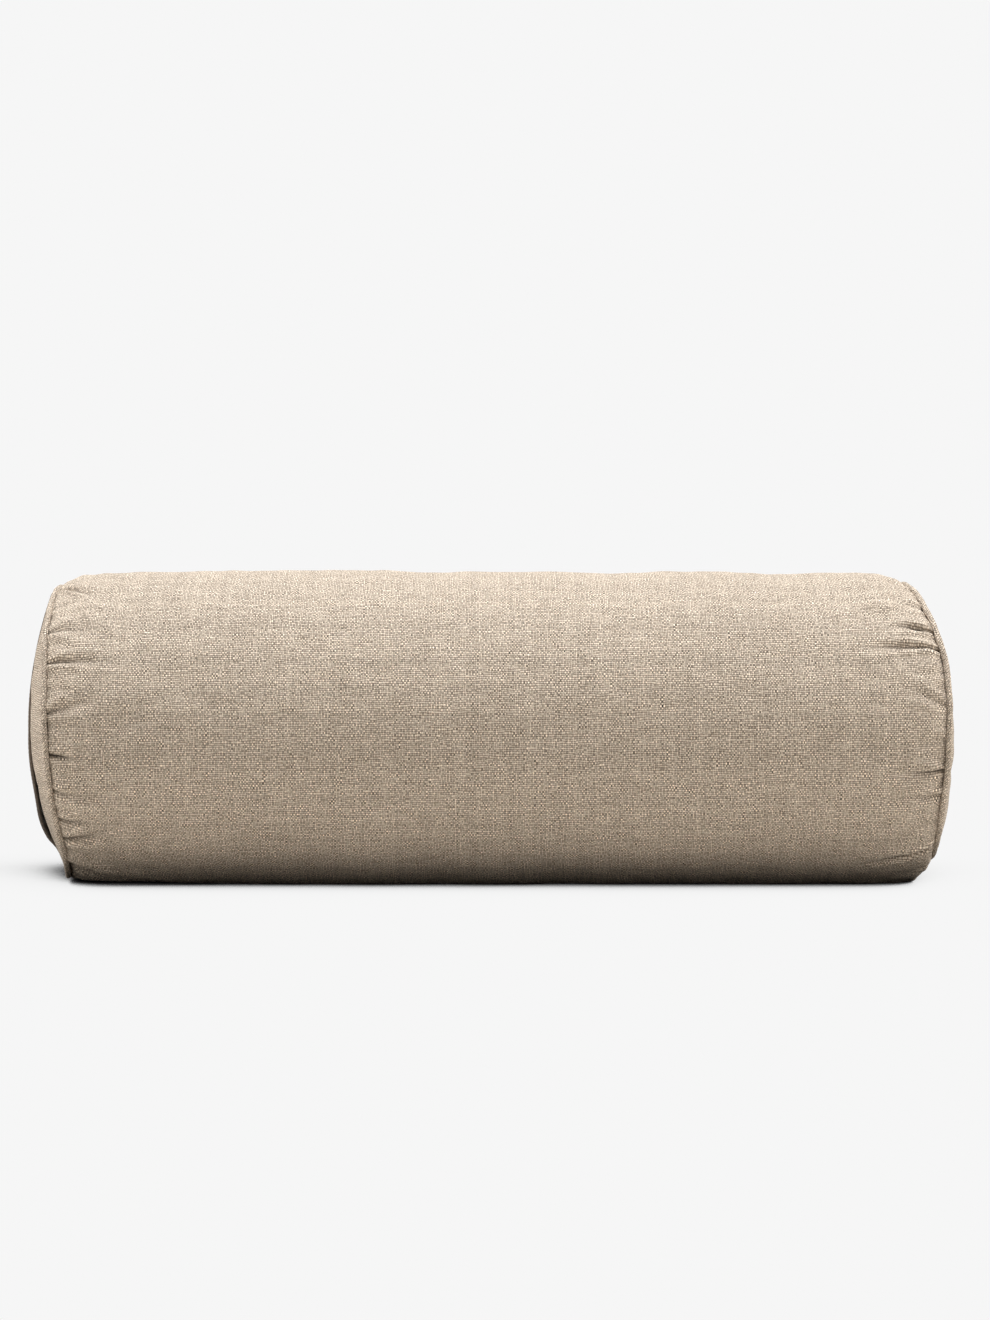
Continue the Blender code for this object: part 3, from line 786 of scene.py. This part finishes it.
def thread_material(name, dark, light):
    """Twisted sewing thread: cloth x runs round the thread, y along it."""
    r = Recipe(name)
    x, y, _ = r.cloth()
    twist = r.math("ABSOLUTE", r.math("SINE", y * (math.pi / (0.6 * MM)) + x))
    fuzz = r.noise(r.vector(x * 3.0, y * 3000.0), 1.0, 3.0)
    colour = r.mix(r.remap(twist + fuzz * 0.5, 0.2, 1.3), dark, light)
    return r.finish(colour, 0.8, r.bump(twist, 0.08 * MM, 0.8), sheen=0.1, specular=0.25)


def cotton_material(name):
    """Unbleached cotton lining, a much finer weave."""
    r = Recipe(name)
    x, y, _ = r.cloth()
    height, tone, _ = plain_weave(r, x, y, 0.45 * MM, 0.50 * MM, 0.2)
    colour = r.scaled(r.mix(height, (0.520, 0.480, 0.400), (0.800, 0.770, 0.690)), tone)
    return r.finish(colour, 0.92, r.bump(height, 0.12 * MM, 0.7), specular=0.2)


def hull_material(name):
    """Packed seed hulls."""
    r = Recipe(name)
    cells = r.node("TexVoronoi", {"Vector": r.place(), "Scale": 230.0}, "Distance")
    colour = r.mix(cells, (0.420, 0.300, 0.190), (0.130, 0.080, 0.045))
    return r.finish(colour, 0.8, r.bump(cells, -1.0 * MM))


def fibre_material(name):
    """Flax fibre: cloth y runs along it."""
    r = Recipe(name)
    x, y, _ = r.cloth()
    colour = r.mix(r.noise(r.vector(x, y * 900.0)), (0.560, 0.470, 0.360), (0.780, 0.700, 0.580))
    return r.finish(colour, 0.8, sheen=0.1)


LINEN = linen_material("linen_weave")
LINEN_BIAS = linen_material("linen_weave_bias", math.radians(45))
WEBBING = webbing_material("webbing_twill")
TAPE = tape_material("zip_tape_weave")
COIL = coil_material("zip_coil_nylon")
METAL = metal_material("zip_metal_antique")
LINEN_THREAD = thread_material("linen_thread", (0.300, 0.235, 0.165), (0.620, 0.530, 0.420))
DARK_THREAD = thread_material("charcoal_thread", (0.030, 0.024, 0.019), (0.190, 0.160, 0.130))
COTTON = cotton_material("cotton_lining_weave")
HULLS = hull_material("seed_hulls")
FLAX = fibre_material("flax_fibre")


# ==== Cover ====
BARREL_ROWS = 210
BARREL_COLUMNS = 480
# The fabric's turned edge at the zip, as (mm from the edge, mm out from the flat).
ZIP_HEM = ((0.50, -1.05), (0.08, -0.75), (0.00, -0.42), (0.18, -0.12), (0.70, 0.00))
HEM_ROOM = 1.9 * MM


def build_barrel():
    even = np.linspace(0.0, 1.0, BARREL_ROWS)[:, None]
    share = even - 0.76 * np.sin(math.tau * even) / math.tau      # rows crowd toward both ends
    zip_along = seam_place(-1, ZIP_ANGLE) * (1.0 - share) + seam_place(1, ZIP_ANGLE) * share
    opened = smoothstep(SLOT_HALF_LENGTH + 1.5 * MM, SLOT_HALF_LENGTH - 1.5 * MM, np.abs(zip_along))
    edge = 0.30 * MM + (SLOT_HALF_WIDTH - 0.30 * MM) * opened
    hem = [(edge + out * MM, up * MM + 0.0 * edge) for out, up in ZIP_HEM]
    start = np.arctan2(edge + HEM_ROOM, ZIP_FLAT)
    t = np.linspace(0.0, 1.0, BARREL_COLUMNS)[None, :]
    main = start + (math.tau - 2.0 * start) * (t + 0.4 * np.sin(math.tau * t) / math.tau)
    left_hem = np.concatenate([np.arctan2(place, ZIP_FLAT) for place, _ in hem], axis=1)
    turned = np.concatenate([left_hem, main, math.tau - left_hem[:, ::-1]], axis=1)
    sunk = np.concatenate([up for _, up in hem], axis=1)
    flat = np.zeros(main.shape)
    depth = np.concatenate([sunk, flat, sunk[:, ::-1]], axis=1)
    angle = turned_gap(ZIP_ANGLE - turned, 0.0)
    points = barrel_surface(share, angle, inset=-depth)
    # The cloth's third number is the painted shade of the folds and of the place under the lip.
    cloth = np.stack([points[..., 0], turned * BARREL_RADIUS, painted_crease_shade(points[..., 0], angle)],
                     axis=-1)
    barrel = grid_object("linen_barrel", points, cloth)
    thicken(barrel)
    return dress(barrel, LINEN, "root", "linen", "cover_barrel")


PANEL_RINGS = 70
PANEL_SPOKES = 300


def build_end_panel(side, label):
    share = np.linspace(0.0, 1.0, PANEL_RINGS)[1:, None] ** 0.85
    angle = np.linspace(-math.pi, math.pi, PANEL_SPOKES, endpoint=False)[None, :]
    points = panel_surface(side, share, angle)
    cloth = points[..., 1:3].copy()
    panel = grid_object("linen_end_" + label, points, cloth, closed_columns=True, flip=side < 0)
    close_centre(panel, PANEL_SPOKES, points[0].mean(axis=0), cloth[0].mean(axis=0))
    thicken(panel)
    return dress(panel, LINEN, "root", "linen", "end_panel_" + label)


def close_centre(obj, spokes, centre, cloth):
    """Fans the first ring of a polar sheet to a middle point."""
    bm = bmesh.new()
    bm.from_mesh(obj.data)
    layer = bm.verts.layers.float_vector["cloth"]
    bm.verts.ensure_lookup_table()
    ring = [bm.verts[i] for i in range(spokes)]
    middle = bm.verts.new(Vector(centre))
    middle[layer] = Vector((cloth[0], cloth[1], 0.0))
    for first, second in zip(ring, ring[1:] + ring[:1]):
        bm.faces.new((middle, second, first)).smooth = True
    bmesh.ops.recalc_face_normals(bm, faces=bm.faces)
    outward = 1.0 if centre[0] > 0.0 else -1.0
    total = sum(face.normal.x * face.calc_area() for face in bm.faces)
    if total * outward < 0.0:
        bmesh.ops.reverse_faces(bm, faces=bm.faces)
    bm.to_mesh(obj.data)
    bm.free()


PIPING_STEPS = 620
PIPING_SIDES = 16
CORD_RADIUS = 1.2 * MM


def build_piping(side, label):
    angle = np.linspace(-math.pi, math.pi, PIPING_STEPS, endpoint=False)
    ring = ring_radius(side, angle)
    path = np.stack([seam_place(side, angle), -ring * np.cos(angle), AXIS_HEIGHT + ring * np.sin(angle)],
                    axis=-1)
    lumps = waves(91 if side < 0 else 97, 14, 0.0, angle, (0.006, 0.030), 0.07 * MM)
    points, turn = tube_points(path, PIPING_RADIUS + lumps, PIPING_SIDES, closed=True)
    round_arc = np.broadcast_to(turn[None, :] * PIPING_RADIUS, points.shape[:2])
    long_arc = np.broadcast_to((angle * RING_RADIUS)[:, None], points.shape[:2])
    cloth = np.stack([round_arc, long_arc], axis=-1)
    piping = grid_object("linen_piping_" + label, points, cloth, True, True, flip=True)
    dress(piping, LINEN_BIAS, "root", "linen", "piping_tape_" + label)
    core, turn = tube_points(path, CORD_RADIUS, 8, closed=True)
    cloth = np.zeros((*core.shape[:2], 2))
    cloth[..., 0] = turn[None, :]
    cloth[..., 1] = long_arc[:, :1]
    cord = grid_object("cord_in_piping_" + label, core, cloth, True, True, flip=True)
    dress(cord, COTTON, "root", "cord", "piping_cord_" + label)


# ==== Liner and filling ====
LINER_INSET = 4.5 * MM


def build_inside():
    angle = np.linspace(-math.pi, math.pi, 96, endpoint=False)[None, :]
    share = np.linspace(0.018, 0.982, 40)[:, None]
    near_end = np.exp(-share * 20.0) + np.exp(-(1.0 - share) * 20.0)
    behind_zip = bell(turned_gap(angle, ZIP_ANGLE), 0.35)

    def bag(inset):
        extra = 2.0 * MM * near_end + 1.0 * MM * behind_zip
        return barrel_surface(share, angle, inset + extra, folded=False)

    points = bag(LINER_INSET)
    cloth = np.stack([points[..., 0], 0.0 * points[..., 0] + BARREL_RADIUS * angle], axis=-1)
    liner = grid_object("cotton_liner_barrel", points, cloth, closed_columns=True)
    thicken(liner)
    dress(liner, COTTON, "root", "cotton_lining", "liner_barrel")
    for side, label, row in ((-1, "left", 0), (1, "right", -1)):
        rim = points[row]
        rings = np.linspace(0.06, 1.0, 14)[:, None, None]
        crown = np.array([side * (PANEL_CROWN - LINER_INSET), 0.0, AXIS_HEIGHT])
        bulge = np.stack([rings[..., 0] ** 2, rings[..., 0], rings[..., 0]], axis=-1)
        end_points = crown + (rim[None] - crown) * bulge
        end_points[..., 0] += side * 0.7 * MM
        end = grid_object("cotton_liner_end_" + label, end_points, end_points[..., 1:3],
                          closed_columns=True, flip=side < 0)
        close_centre(end, rim.shape[0], end_points[0].mean(axis=0), end_points[0, :, 1:3].mean(axis=0))
        thicken(end)
        dress(end, COTTON, "root", "cotton_lining", "liner_end_" + label)
    core = bag(LINER_INSET + 1.6 * MM)
    filling = grid_object("seed_hull_filling", core, cloth, closed_columns=True)
    close_ends(filling, core.shape[1], core.shape[0])
    dress(filling, HULLS, "root", "hulls", "filling")


# ==== Zip ====
def zip_point(along, up, out):
    """A point from its place along the zip, up its plane and out from the cover's flat."""
    return AXIS_POINT + Vector((along, 0.0, 0.0)) + ZIP_UP * up + ZIP_OUT * (ZIP_FLAT + out)


def run_along(path):
    """Distance of each point of a path from its start."""
    return np.concatenate([[0.0], np.cumsum(np.linalg.norm(np.diff(path, axis=0), axis=1))])


def merged_tubes(name, paths, radius, sides):
    """Many short open tubes with closed ends in one object."""
    verts = []
    faces = []
    places = []
    for path in paths:
        points, turn = tube_points(path, radius, sides, closed=False)
        first = len(verts)
        last = first + (len(path) - 1) * sides
        verts.extend(points.reshape(-1, 3).tolist())
        places.extend((angle, run) for run in run_along(path) for angle in turn)
        for ring in range(first, last, sides):
            for side in range(sides):
                a = ring + side
                b = ring + (side + 1) % sides
                faces.append((a, b, b + sides, a + sides))
        faces.append(tuple(first + side for side in reversed(range(sides))))
        faces.append(tuple(last + side for side in range(sides)))
    mesh = bpy.data.meshes.new(name)
    mesh.from_pydata(verts, [], faces)
    set_cloth(mesh, np.array(places))
    mesh.shade_smooth()
    return new_object(name, mesh)


COIL_PITCH = 1.30 * MM
COIL_WIRE = 0.34 * MM
COIL_MIDDLE = 1.42 * MM             # from the zip's middle line to the middle of a row
COIL_HALF_WIDTH = 1.12 * MM
COIL_HEIGHT = -0.18 * MM            # middle of a row, from the cover's flat
COIL_HALF_DEPTH = 0.44 * MM


def build_coil(side, label):
    """One coil row: a loop of wire for each tooth, which reaches to the middle of the zip."""
    low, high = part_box("zip_teeth_" + label)
    count = int((high.x - low.x) / COIL_PITCH) - 1
    steps = 10
    stagger = 0.5 if side > 0 else 0.0
    phase = np.linspace(0.0, math.tau, steps, endpoint=False)
    turns = np.arange(count * steps)
    swing = phase[turns % steps]
    along = low.x + 0.8 * MM + COIL_PITCH * (turns / steps + stagger)
    reach = side * (COIL_MIDDLE + COIL_HALF_WIDTH * np.cos(swing))
    height = COIL_HEIGHT + COIL_HALF_DEPTH * np.sin(swing)
    path = [zip_point(x, u, h) for x, u, h in zip(along, reach, height)]
    coil = merged_tubes("zip_coil_" + label, [np.array(path)], COIL_WIRE, 6)
    dress(coil, COIL, "root", "zip_coil", "zip_teeth_" + label)


def softened(node, name, width, material, body, slot):
    """A CAD node's own shape with rounded edges."""
    mesh = frame["nodes"][node].data.copy()
    weld(mesh, 1e-5)
    obj = new_object(name, mesh)
    planar = obj.modifiers.new("planar", "DECIMATE")
    planar.decimate_type = "DISSOLVE"
    planar.angle_limit = math.radians(2)
    bevel = obj.modifiers.new("round", "BEVEL")
    bevel.width = width
    bevel.segments = 3
    bevel.limit_method = "ANGLE"
    bevel.angle_limit = math.radians(30)
    bevel.harden_normals = False
    apply_modifiers(obj)
    obj.data.shade_smooth()
    obj.data.set_sharp_from_angle(angle=math.radians(50))
    return dress(obj, material, body, slot, node)


STITCH_LENGTH = 2.7 * MM
STITCH_GAP = 0.7 * MM
STITCH_LIFT = 0.24 * MM
THREAD_RADIUS = 0.21 * MM


def stitch_row(places):
    """Short stitches that dip into the cloth at both ends, along a list of (point, outward)."""
    points, outward = (np.array(part) for part in zip(*places))
    run = run_along(points)

    def at(values, place):
        return np.array([np.interp(place, run, values[:, axis]) for axis in range(3)])

    paths = []
    start = 0.0
    while start + STITCH_LENGTH < run[-1]:
        path = []
        for share in np.linspace(0.0, 1.0, 7):
            place = start + share * STITCH_LENGTH
            rise = STITCH_LIFT * (math.sin(math.pi * share) - 0.6)
            path.append(at(points, place) + at(outward, place) * rise)
        paths.append(np.array(path))
        start += STITCH_LENGTH + STITCH_GAP
    return paths


def build_zip_stitching():
    """Two rows of topstitching, one each side of the slot, closed across its ends."""
    paths = []
    offset = SLOT_HALF_WIDTH + 2.4 * MM
    reach = SLOT_HALF_LENGTH + 3.0 * MM
    corners = [(-reach, -offset), (reach, -offset), (reach, offset), (-reach, offset), (-reach, -offset)]
    for (x0, u0), (x1, u1) in zip(corners[:-1], corners[1:]):
        steps = 60 if abs(x1 - x0) > 0.01 else 6
        places = []
        for step in range(steps + 1):
            along = x0 + (x1 - x0) * step / steps
            up = u0 + (u1 - u0) * step / steps
            places.append((zip_point(along, up, 0.02 * MM), ZIP_OUT))
        paths.extend(stitch_row(places))
    stitching = merged_tubes("zip_topstitching", paths, THREAD_RADIUS, 6)
    dress(stitching, LINEN_THREAD, "root", "linen")


def build_zip():
    for side, label in ((1, "upper"), (-1, "lower")):
        build_coil(side, label)
        softened("zip_top_stop_" + label, "top_stop_" + label, 0.35 * MM, METAL, "root", "zip_metal")
        frame["nodes"]["zip_tape_" + label].data.materials.clear()
        frame["nodes"]["zip_tape_" + label].data.materials.append(TAPE)
    softened("zip_bottom_stop", "bottom_stop", 0.35 * MM, METAL, "root", "zip_metal")
    softened("zip_slider", "slider_body", 0.16 * MM, METAL, "slider", "zip_metal")
    softened("zip_pull_tab", "pull_tab_plate", 0.22 * MM, METAL, "pull_tab", "zip_metal")
    build_zip_stitching()


# ==== Handle ====
STRAP_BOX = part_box("handle_strap")
STRAP_WIDTH = STRAP_BOX[1].y - STRAP_BOX[0].y
STRAP_THICKNESS = 1.8 * MM
STRAP_TACK = (STRAP_BOX[1].z - STRAP_BOX[0].z) / 2.0
STRAP_END = 99.5 * MM
STRAP_STEPS = 110
SLACK_PLACE = -66.0 * MM            # height of the webbing's slack, from the barrel's axis


def strap_rise(up):
    """Webbing over the end panel: nearly flat above, slack towards its lower end, sunk in where sewn."""
    slack = 2.4 * MM * bell(up - SLACK_PLACE, 17.0 * MM)
    spring = 1.1 * MM * bell(up + 18.0 * MM, 44.0 * MM)
    free = smoothstep(-STRAP_TACK - 5.0 * MM, -STRAP_TACK + 5.0 * MM, up)
    ripple = 0.3 * MM * np.sin(up / (17.0 * MM)) * smoothstep(STRAP_TACK, 0.5 * STRAP_TACK, np.abs(up))
    return 0.55 * MM + (slack + spring) * free - 1.3 * MM * (1.0 - free) + np.abs(ripple)


def strap_twist(up):
    """Sideways lean of the slack, along X for each metre across."""
    return 0.05 * bell(up - SLACK_PLACE, 22.0 * MM)


def strap_points(up, across, outer):
    """Points of the webbing at heights and distances across. outer is 0 on the panel side, 1 outside."""
    angle = np.where(up >= 0.0, math.pi / 2.0, -math.pi / 2.0)
    share = np.abs(up) / (ring_radius(-1, angle) - PANEL_EDGE)
    panel = panel_surface(-1, np.minimum(share, 1.0), angle, folded=False)[..., 0]
    along = panel - strap_rise(up) - outer * STRAP_THICKNESS + strap_twist(up) * across
    return np.stack([along, across + 0.0 * up, AXIS_HEIGHT + up + 0.0 * across], axis=-1)


def webbing_section():
    """Round-edged flat section as (across, outer) pairs, anticlockwise from the inner face."""
    half = STRAP_WIDTH / 2.0
    section = [(across, 0.0) for across in np.linspace(-half + 0.6 * MM, half - 0.6 * MM, 22)]
    section += [(half - 0.12 * MM, 0.18), (half, 0.5), (half - 0.12 * MM, 0.82)]
    return np.array(section + [(-across, 1.0 - outer) for across, outer in section])


def build_strap_half(name, low, high, body_side, *replaced):
    section = webbing_section()
    up = np.linspace(low, high, STRAP_STEPS)[:, None]
    across = section[None, :, 0]
    outer = section[None, :, 1]
    ribs = 0.05 * np.sin(up / (0.5 * MM)) * (np.abs(across) > STRAP_WIDTH / 2.0 - 1.5 * MM)
    points = strap_points(up, across, outer + ribs * (outer - 0.5))
    cloth = np.stack(np.broadcast_arrays(across, up), axis=-1)
    strap = grid_object(name, points, cloth, closed_columns=True, flip=True)
    close_ends(strap, len(section), STRAP_STEPS)
    dress(strap, WEBBING, None, "webbing", *replaced)
    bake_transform(strap)


TACK_ZIGZAGS = 58
TACK_HEIGHTS = (3.2 * MM, 0.6 * MM)     # the zigzag's turns, out from the end of the free length


def build_bar_tacks():
    """A dense zigzag across the webbing at each end of its free length."""
    paths = []
    half = STRAP_WIDTH / 2.0 - 2.0 * MM
    for end in (-1.0, 1.0):
        zigzag = []
        for step in range(TACK_ZIGZAGS + 1):
            across = -half + 2.0 * half * step / TACK_ZIGZAGS
            up = end * (STRAP_TACK + TACK_HEIGHTS[step % 2])
            place = strap_points(np.array(up), np.array(across), np.array(1.0))
            zigzag.append(place - np.array([0.10 * MM, 0.0, 0.0]))
        paths.append(np.array(zigzag))
    tacks = merged_tubes("handle_bar_tacks", paths, 0.20 * MM, 5)
    dress(tacks, DARK_THREAD, "root", "webbing")


def build_handle():
    build_strap_half("handle_webbing_upper", 0.0, STRAP_END, 1.0, "handle_end_upper", "handle_strap")
    build_strap_half("handle_webbing_lower", -STRAP_END, 0.0, -1.0, "handle_end_lower")
    build_bar_tacks()


# ==== Loose fibres ====
FIBRES = 1500
FIBRE_RADIUS = 0.055 * MM


def build_fuzz():
    """Short flax fibres that stand out of the cloth on the barrel."""
    rng = np.random.default_rng(23)
    share = rng.uniform(0.01, 0.99, (FIBRES, 1))
    angle = rng.uniform(-0.46 * math.pi, 0.88 * math.pi, (FIBRES, 1))
    length = rng.uniform(1.5, 6.0, (FIBRES, 1)) * MM
    steps = np.linspace(0.0, 1.0, 6)[None, :]
    heading = rng.uniform(0.0, math.tau, (FIBRES, 1)) + rng.uniform(-1.6, 1.6, (FIBRES, 1)) * steps
    along = np.cumsum(np.cos(heading), axis=1) * length / 6.0
    around = np.cumsum(np.sin(heading), axis=1) * length / 6.0
    lift = 0.12 * MM + rng.uniform(0.04, 0.9, (FIBRES, 1)) * MM * np.sin(math.pi * steps)
    paths = barrel_surface(share + along / (2.0 * SEAM_HALF), angle + around / BARREL_RADIUS, -lift)
    paths[..., 2] = np.maximum(paths[..., 2], 0.1 * MM)
    fuzz = merged_tubes("linen_loose_fibres", paths, FIBRE_RADIUS, 3)
    dress(fuzz, FLAX, "root", "linen")


build_barrel()
for end_side, end_label in ((-1, "left"), (1, "right")):
    build_end_panel(end_side, end_label)
    build_piping(end_side, end_label)
build_inside()
build_zip()
build_handle()
build_fuzz()


# ==== Stage, lights and camera ====
PAGE = (0.9216, 0.9216, 0.9216, 1.0)
FLOOR_HALF = 6.0
# The camera's floor, as (share of the sky that it sees, its brightness).
SHADOW_CURVE = ((0.33, 0.0), (0.415, 0.09), (0.50, 0.66), (0.60, 0.90), (0.70, 0.97), (0.88, 1.0))


def floor_sheet(name, height):
    mesh = bpy.data.meshes.new(name)
    corners = [(-1, -1), (1, -1), (1, 1), (-1, 1)]
    mesh.from_pydata([(x * FLOOR_HALF, y * FLOOR_HALF, height) for x, y in corners], [], [(0, 1, 2, 3)])
    sheet = new_object(name, mesh)
    material = bpy.data.materials.new(name)
    mesh.materials.append(material)
    return sheet, Nodes(material)


def build_seen_floor():
    """What the camera sees of the floor: the page's colour, darkened where the object hides the light."""
    seen, r = floor_sheet("floor_seen", 0.0)
    for ray in ("diffuse", "glossy", "transmission", "volume_scatter", "shadow"):
        setattr(seen, "visible_" + ray, False)
    # The shadow looks toward the light: straight up behind the object, leaning forward before it.
    toward = r.remap(r.parts(r.place())[1], -0.03, 0.14, -math.sin(math.radians(50)),
                     math.sin(math.radians(24)))
    lean = r.vector(0.18, toward, math.cos(math.radians(50)))
    open_sky = r.node("AmbientOcclusion", {"Normal": lean, "Distance": 0.30}, "AO", samples=24)
    strength = r.node("FloatCurve", {"Value": open_sky})
    mapping = strength.node.mapping
    points = mapping.curves[0].points
    points[0].location = SHADOW_CURVE[0]
    points[1].location = SHADOW_CURVE[-1]
    for place in SHADOW_CURVE[1:-1]:
        points.new(*place)
    for point in points:
        point.handle_type = "AUTO_CLAMPED"
    mapping.extend = "HORIZONTAL"
    mapping.update()
    r.surface(r.node("Emission", {"Color": PAGE, "Strength": strength}))


def build_bounce_floor():
    """A sheet that the camera doesn't see and that throws light back at the object, save near it."""
    bounce, r = floor_sheet("floor_bounce", -0.5 * MM)
    bounce.visible_camera = False
    bounce.visible_shadow = False
    away = r.math("ABSOLUTE", r.parts(r.place())[1])
    lit = r.remap(away, 0.062, 0.115, 0.01, 1.0, "SMOOTHSTEP")
    r.surface(r.node("BsdfDiffuse", {"Color": r.scaled((0.66, 0.63, 0.58), lit)}))


def build_world():
    """The page colour behind the object, and a dimmer even light from it."""
    world = bpy.data.worlds.new("studio")
    bpy.context.scene.world = world
    r = Nodes(world, "OutputWorld")
    lit = r.node("Background", {"Color": (1.0, 1.0, 1.0, 1.0), "Strength": 0.42})
    seen = r.node("Background", {"Color": PAGE})
    camera_ray = r.node("LightPath", {}, "Is Camera Ray")
    r.surface(r.node("MixShader", {0: camera_ray, 1: lit, 2: seen}))


COOL = (0.96, 1.0, 1.035)
WARM = (1.0, 0.985, 0.96)
# Area lights, as (name, place, place aimed at, (width, height), power, tint).
LIGHTS = (
    ("overhead", (0.0, 0.0, 1.5), (0.0, 0.0, 0.1), (2.0, 0.5), 30.5, COOL),
    ("overhead_back", (0.0, 0.9, 1.3), (0.0, 0.0, 0.1), (2.0, 0.8), 5.0, COOL),
    ("front_left", (-1.6, -0.6, 1.1), (0.0, 0.0, 0.1), (1.0, 1.0), 8.0, WARM),
    ("front_right", (1.6, -0.6, 1.1), (0.0, 0.0, 0.1), (1.0, 1.0), 12.8, WARM),
    ("side_left", (-1.7, 0.25, 0.5), (0.0, 0.05, 0.1), (0.8, 0.8), 11.0, WARM),
    ("side_right", (1.7, 0.25, 0.5), (0.0, 0.05, 0.1), (0.8, 0.8), 11.0, WARM),
)


def build_lights():
    for name, place, aim, (width, height), power, tint in LIGHTS:
        data = bpy.data.lights.new(name, "AREA")
        data.shape = "RECTANGLE"
        data.size = width
        data.size_y = height
        data.energy = power
        data.color = tint
        light = new_object(name, data)
        light.location = place
        light.rotation_euler = (Vector(aim) - Vector(place)).to_track_quat("-Z", "Y").to_euler()


CAMERA_DISTANCE = 1.85
CAMERA_RISE = math.radians(4.0)
CAMERA_AIM = Vector((0.0035, 0.0, 0.154))
SENSOR = 36.0
FRAME_WIDTH = 0.698                 # width that the picture takes in at the barrel's axis


def build_camera():
    data = bpy.data.cameras.new("camera")
    data.sensor_fit = "HORIZONTAL"
    data.sensor_width = SENSOR
    data.lens = SENSOR * CAMERA_DISTANCE / FRAME_WIDTH
    camera = new_object("camera", data)
    back = Vector((0.0, -math.cos(CAMERA_RISE), math.sin(CAMERA_RISE)))
    camera.location = CAMERA_AIM + back * CAMERA_DISTANCE
    camera.rotation_euler = (-back).to_track_quat("-Z", "Y").to_euler()
    bpy.context.scene.camera = camera


build_seen_floor()
build_bounce_floor()
build_world()
build_lights()
build_camera()
bpy.context.scene.view_settings.view_transform = "Standard"
